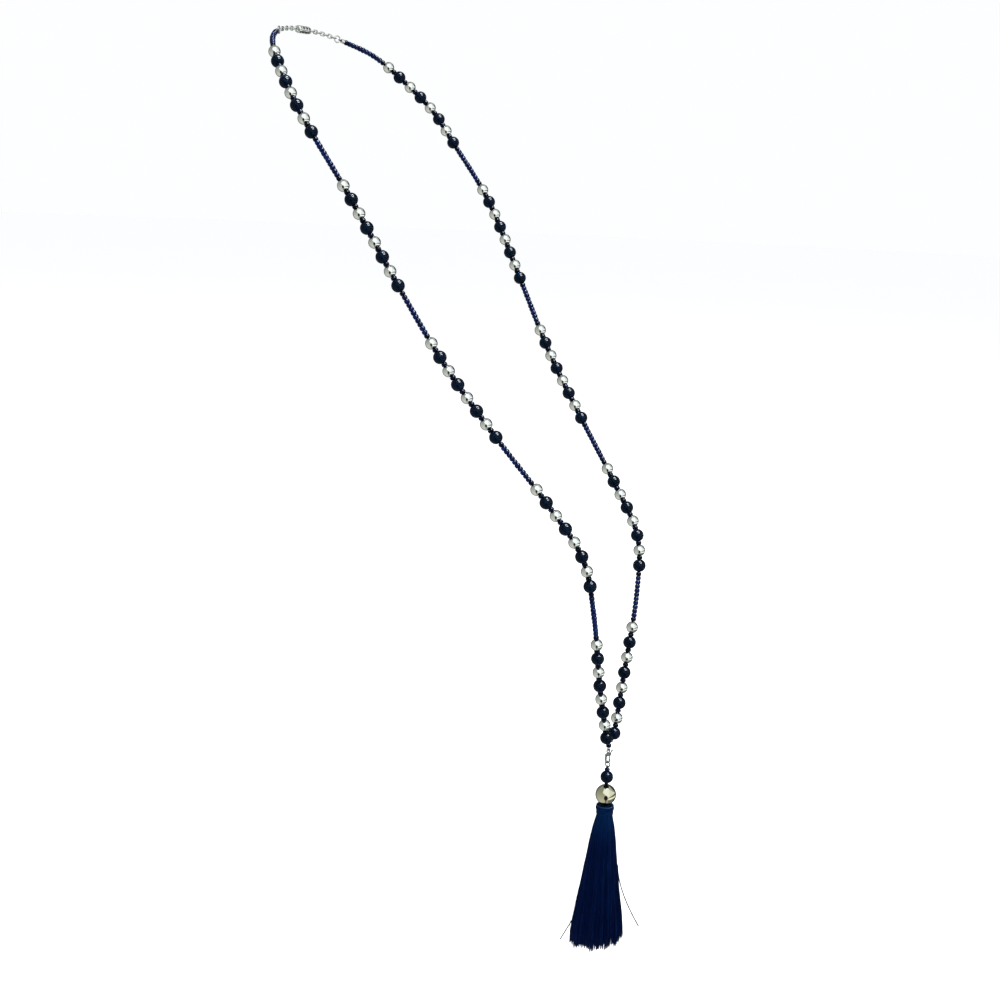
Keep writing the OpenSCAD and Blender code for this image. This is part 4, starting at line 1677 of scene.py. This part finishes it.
@dataclass
class Studio:
    """The camera at the photograph's angle, the floor, the lights and what the metal mirrors."""

    azimuth: float = math.radians(-59.94)
    elevation: float = math.radians(11.55)
    roll: float = math.radians(2.59)
    focal_share: float = 1.585
    sensor: float = 36.0
    aim: Vector = field(default_factory=lambda: Vector((0, -0.197, -0.338)))
    camera_right: float = -0.0541
    camera_up: float = 0.1188
    camera_back: float = 0.77825
    floor_gap: float = 0.06
    floor_r: float = 12
    window: Colour = (0.32, 0.85, 0.4)
    window_far: float = 1.7
    window_size: tuple[float, float] = (0.8, 1.45)
    lit_place: Vector = field(default_factory=lambda: Vector((0, -0.12, -0.22)))
    lamp_roll: float = -0.3
    # Inner sides of the room's lines: share of x, share of y and distance from the middle.
    # The ledge, the opening's reveal, right edge and low edge, and its three other edges.
    room_lines: Sequence[Colour] = (
        (-0.21, 0.978, 0.435), (-0.817, -0.576, 0.855), (-0.648, -0.762, 0.648),
        (-0.396, 0.918, 0.309), (0.935, -0.356, 0.373), (0.095, -0.995, 0.628),
        (0.66, 0.751, 0.041))
    right: Vector = field(init=False)
    up: Vector = field(init=False)
    back: Vector = field(init=False)

    def __post_init__(self) -> None:
        """Works out the camera's axes."""
        a, e = self.azimuth, self.elevation
        level = Vector((math.cos(a), math.sin(a), 0))
        self.back = Vector((math.sin(a) * math.cos(e), -math.cos(a) * math.cos(e), math.sin(e)))
        upright = self.back.cross(level)
        self.right = math.cos(self.roll) * level + math.sin(self.roll) * upright
        self.up = self.back.cross(self.right)

    def build(self) -> None:
        """Sets up the camera, the floor, the lights and the surroundings."""
        self.build_camera()
        self.build_floor()
        self.build_lights()
        self.build_world()

    def hang(self, name: str, data: Any, place: Vector, turn: Matrix) -> Piece:
        """Puts a camera or a lamp into the scene.

        Args:
            name: The object's name.
            data: What it holds.
            place: Where it is.
            turn: The way that it faces, along its own -Z.

        Returns:
            The new object.
        """
        thing = bpy.data.objects.new(name, data)
        thing.matrix_world = Matrix.Translation(place) @ turn
        bpy.context.scene.collection.objects.link(thing)
        return thing

    def build_camera(self) -> None:
        """Places the camera."""
        data = bpy.data.cameras.new("photo_camera")
        data.sensor_width = self.sensor
        data.lens = self.sensor * self.focal_share
        data.clip_start, data.clip_end = 0.01, 60.0
        turn = Matrix((self.right, self.up, self.back)).transposed().to_4x4()
        place = (self.aim + self.right * self.camera_right + self.up * self.camera_up
                 + self.back * self.camera_back)
        bpy.context.scene.camera = self.hang("photo_camera", data, place, turn)

    def build_floor(self) -> None:
        """Lays the pale floor below the tassel."""
        floor = add("studio_floor", bpy.ops.mesh.primitive_circle_add, vertices=96,
                    radius=self.floor_r, fill_type="NGON",
                    location=(0, 0, CAD_BOX[0].z - self.floor_gap))
        wear(floor, FLOOR)
        floor.visible_glossy = False

    def light(self, name: str, power: float, size: tuple[float, float], towards: Sequence[float],
              distance: float) -> Piece:
        """Adds an oblong soft light that faces the necklace.

        Args:
            name: The light's name.
            power: Its power in watts.
            size: Its width and height.
            towards: Its direction from the necklace, to the camera's right, up and back.
            distance: How far it is.

        Returns:
            The light.
        """
        data = bpy.data.lights.new(name, "AREA")
        data.energy, data.shape = power, "RECTANGLE"
        data.size, data.size_y = size
        way = self.right * towards[0] + self.up * towards[1] + self.back * towards[2]
        way.normalize()
        turn = way.to_track_quat("Z", "Y").to_matrix().to_4x4()
        return self.hang(name, data, self.lit_place + way * distance,
                         turn @ Matrix.Rotation(self.lamp_roll, 4, "Z"))

    def build_lights(self) -> None:
        """Adds a window light, a wide light from above, and the gleams on glossy pieces."""
        for name, power, size, towards, distance in (
                ("window", 30, (0.55, 0.55), self.window, self.window_far),
                ("top", 12, (1.8, 1.8), (0.1, 1.0, -0.1), 2.2)):
            self.light(name, power, size, towards, distance).visible_glossy = False
        self.gleam("gleam", 560, (STONE, SEED, SILK))
        self.gleam("clasp_gleam", 6, (SHADED_SILVER,))

    def gleam(self, name: str, power: float, finishes: Sequence[Finish]) -> None:
        """Adds what pieces of some finishes mirror of the window.

        Args:
            name: The light's name.
            power: Its power in watts.
            finishes: The finishes that show it.
        """
        lamp = self.light(name, power, self.window_size, self.window, self.window_far)
        lamp.visible_diffuse = False
        lamp.data.color = (0.86, 0.93, 1.0)
        materials = [finish.material() for finish in finishes]
        lit = bpy.data.collections.new(name + "_on")
        for thing in bpy.data.objects:
            if any(slot.material in materials for slot in thing.material_slots):
                lit.objects.link(thing)
        lamp.light_linking.receiver_collection = lit

    def build_world(self) -> None:
        """Surrounds the studio with even light, and with a room for glossy pieces to mirror."""
        world = bpy.data.worlds.new("studio_surroundings")
        bpy.context.scene.world = world
        bpy.context.scene.view_settings.view_transform = "Standard"
        sheet = NodeSheet(world)
        mirrored, even = (
            sheet.node("ShaderNodeBackground", None, {"Color": colour, "Strength": 1.0})
            for colour in (self.room(sheet), (0.985, 0.992, 1.0)))
        glossy = sheet.node("ShaderNodeLightPath", result="Is Glossy Ray")
        surface = sheet.node("ShaderNodeMixShader", None, {0: glossy, 1: even, 2: mirrored})
        sheet.node("ShaderNodeOutputWorld", None, {"Surface": surface})

    def room(self, sheet: NodeSheet) -> Shade:
        """Paints the room: pale walls, a bright opening with dark edges, and a dark stand.

        Each thing is placed where a mirror ball, seen from the front, would show it, in radii
        of the ball from its middle.

        Args:
            sheet: The world's node tree.

        Returns:
            The colour of the room in each direction.
        """
        way = sheet.node("ShaderNodeTexCoord", result="Generated")

        def towards(axis: Vector) -> Shade:
            """Gives how far each direction points along an axis."""
            return sheet.node("ShaderNodeVectorMath", {"operation": "DOT_PRODUCT"},
                              {0: way, 1: tuple(axis)}, "Value")

        def inside(line: Colour) -> Shade:
            """Gives how far a place is on the inner side of a line."""
            return x * line[0] + y * line[1] + line[2]

        def stripe(distance: Shade, half: float, soft: float = 0.05) -> Shade:
            """Gives 1 near a line and 0 away from it."""
            return 1 - abs(distance).between(half, half + soft)

        back = towards(self.back)
        spread = (back * 2 + 2.0002) ** -0.5
        x, y = towards(self.right) * spread, towards(self.up) * spread
        ledge, reveal, right_edge, low_edge, *others = map(inside, self.room_lines)
        below_ledge = (1 - ledge.between(-0.1, -0.02)) * x.between(0.05, 0.25)
        on_low_edge = low_edge.between(-0.05, 0)
        lit_side = reveal.between(0, 0.05) * (1 - right_edge.between(-0.05, 0)) * on_low_edge
        frame_side = stripe(reveal + 0.04, 0.07, 0.04) * ledge.between(-0.1, 0.1)
        frame_foot = (stripe(low_edge + 0.04, 0.015, 0.03) * x.between(0.2, 0.35)
                      * reveal.between(-0.05, 0))
        opening = right_edge.between(-0.03, 0.03) * low_edge.between(-0.03, 0.03)
        for other in others:
            opening = other.between(-0.03, 0.05) * opening
        panels = sheet.mix(x.between(0.27, 0.37), (1.75, 1.8, 1.85), (1.38, 1.46, 1.5))
        mullion = stripe(right_edge + 0.01, 0.01, 0.03) * 0.7
        stand = 1 - (((x + 0.01) * 5.4) ** 2 + ((y + 0.28) * 3.9) ** 2).between(0.6, 1.2)
        stem = (stripe(x + 0.01, 0.04) * (1 - y.between(-0.41, -0.33))
                * y.between(-0.81, -0.71) * 0.8)
        far_wall = (1 - back.between(-0.84, -0.28)) * (0.72 + x.between(-0.2, 0.5) * 0.2)
        # Where each layer shows and its colour, the later ones over the earlier
        layers = (
            (x.between(0.42, 0.7) * 0.85, (0.17, 0.19, 0.17)),
            (below_ledge * 0.9, (0.22, 0.24, 0.22)),
            (stripe(ledge, 0.05) * x.between(0.1, 0.3), (1.8, 1.84, 1.7)),
            (lit_side, (0.8, 0.82, 0.78)),
            (frame_side.or_more(frame_foot) * 0.95, (0.03, 0.035, 0.03)),
            (opening, panels),
            (mullion * on_low_edge, (0.4, 0.42, 0.38)),
            (stand.or_more(stem) * 0.98, (0.01, 0.012, 0.006)),
            (far_wall * back.between(-0.99, -0.9), (0.04, 0.05, 0.045)))
        colour = sheet.mix(y.between(-0.75, 0.55), (0.95, 0.95, 0.88), (0.48, 0.51, 0.47))
        for mask, paint in layers:
            colour = sheet.mix(mask, colour, paint)
        return colour


def dress_threads() -> None:
    """Gives the frame's two threads their finish."""
    for name in ("thread", "drop_thread"):
        wear(frame["nodes"][name], THREAD)
        LOG.info("%s: kept from the frame", name)


def main() -> None:
    """Builds the necklace piece by piece, then the studio."""
    logging.basicConfig(level=logging.INFO, format="%(name)s %(message)s")
    chance = np.random.default_rng(CHANCE_START)
    line = StrandLine()
    beads = StrandBeads(line, chance)
    beads.build()
    BackClosure(line, beads).build()
    FrontClasp().build()
    Drop().build()
    Tassel(chance).build()
    dress_threads()
    Studio().build()
    take()


if __name__ == "__main__":
    main()
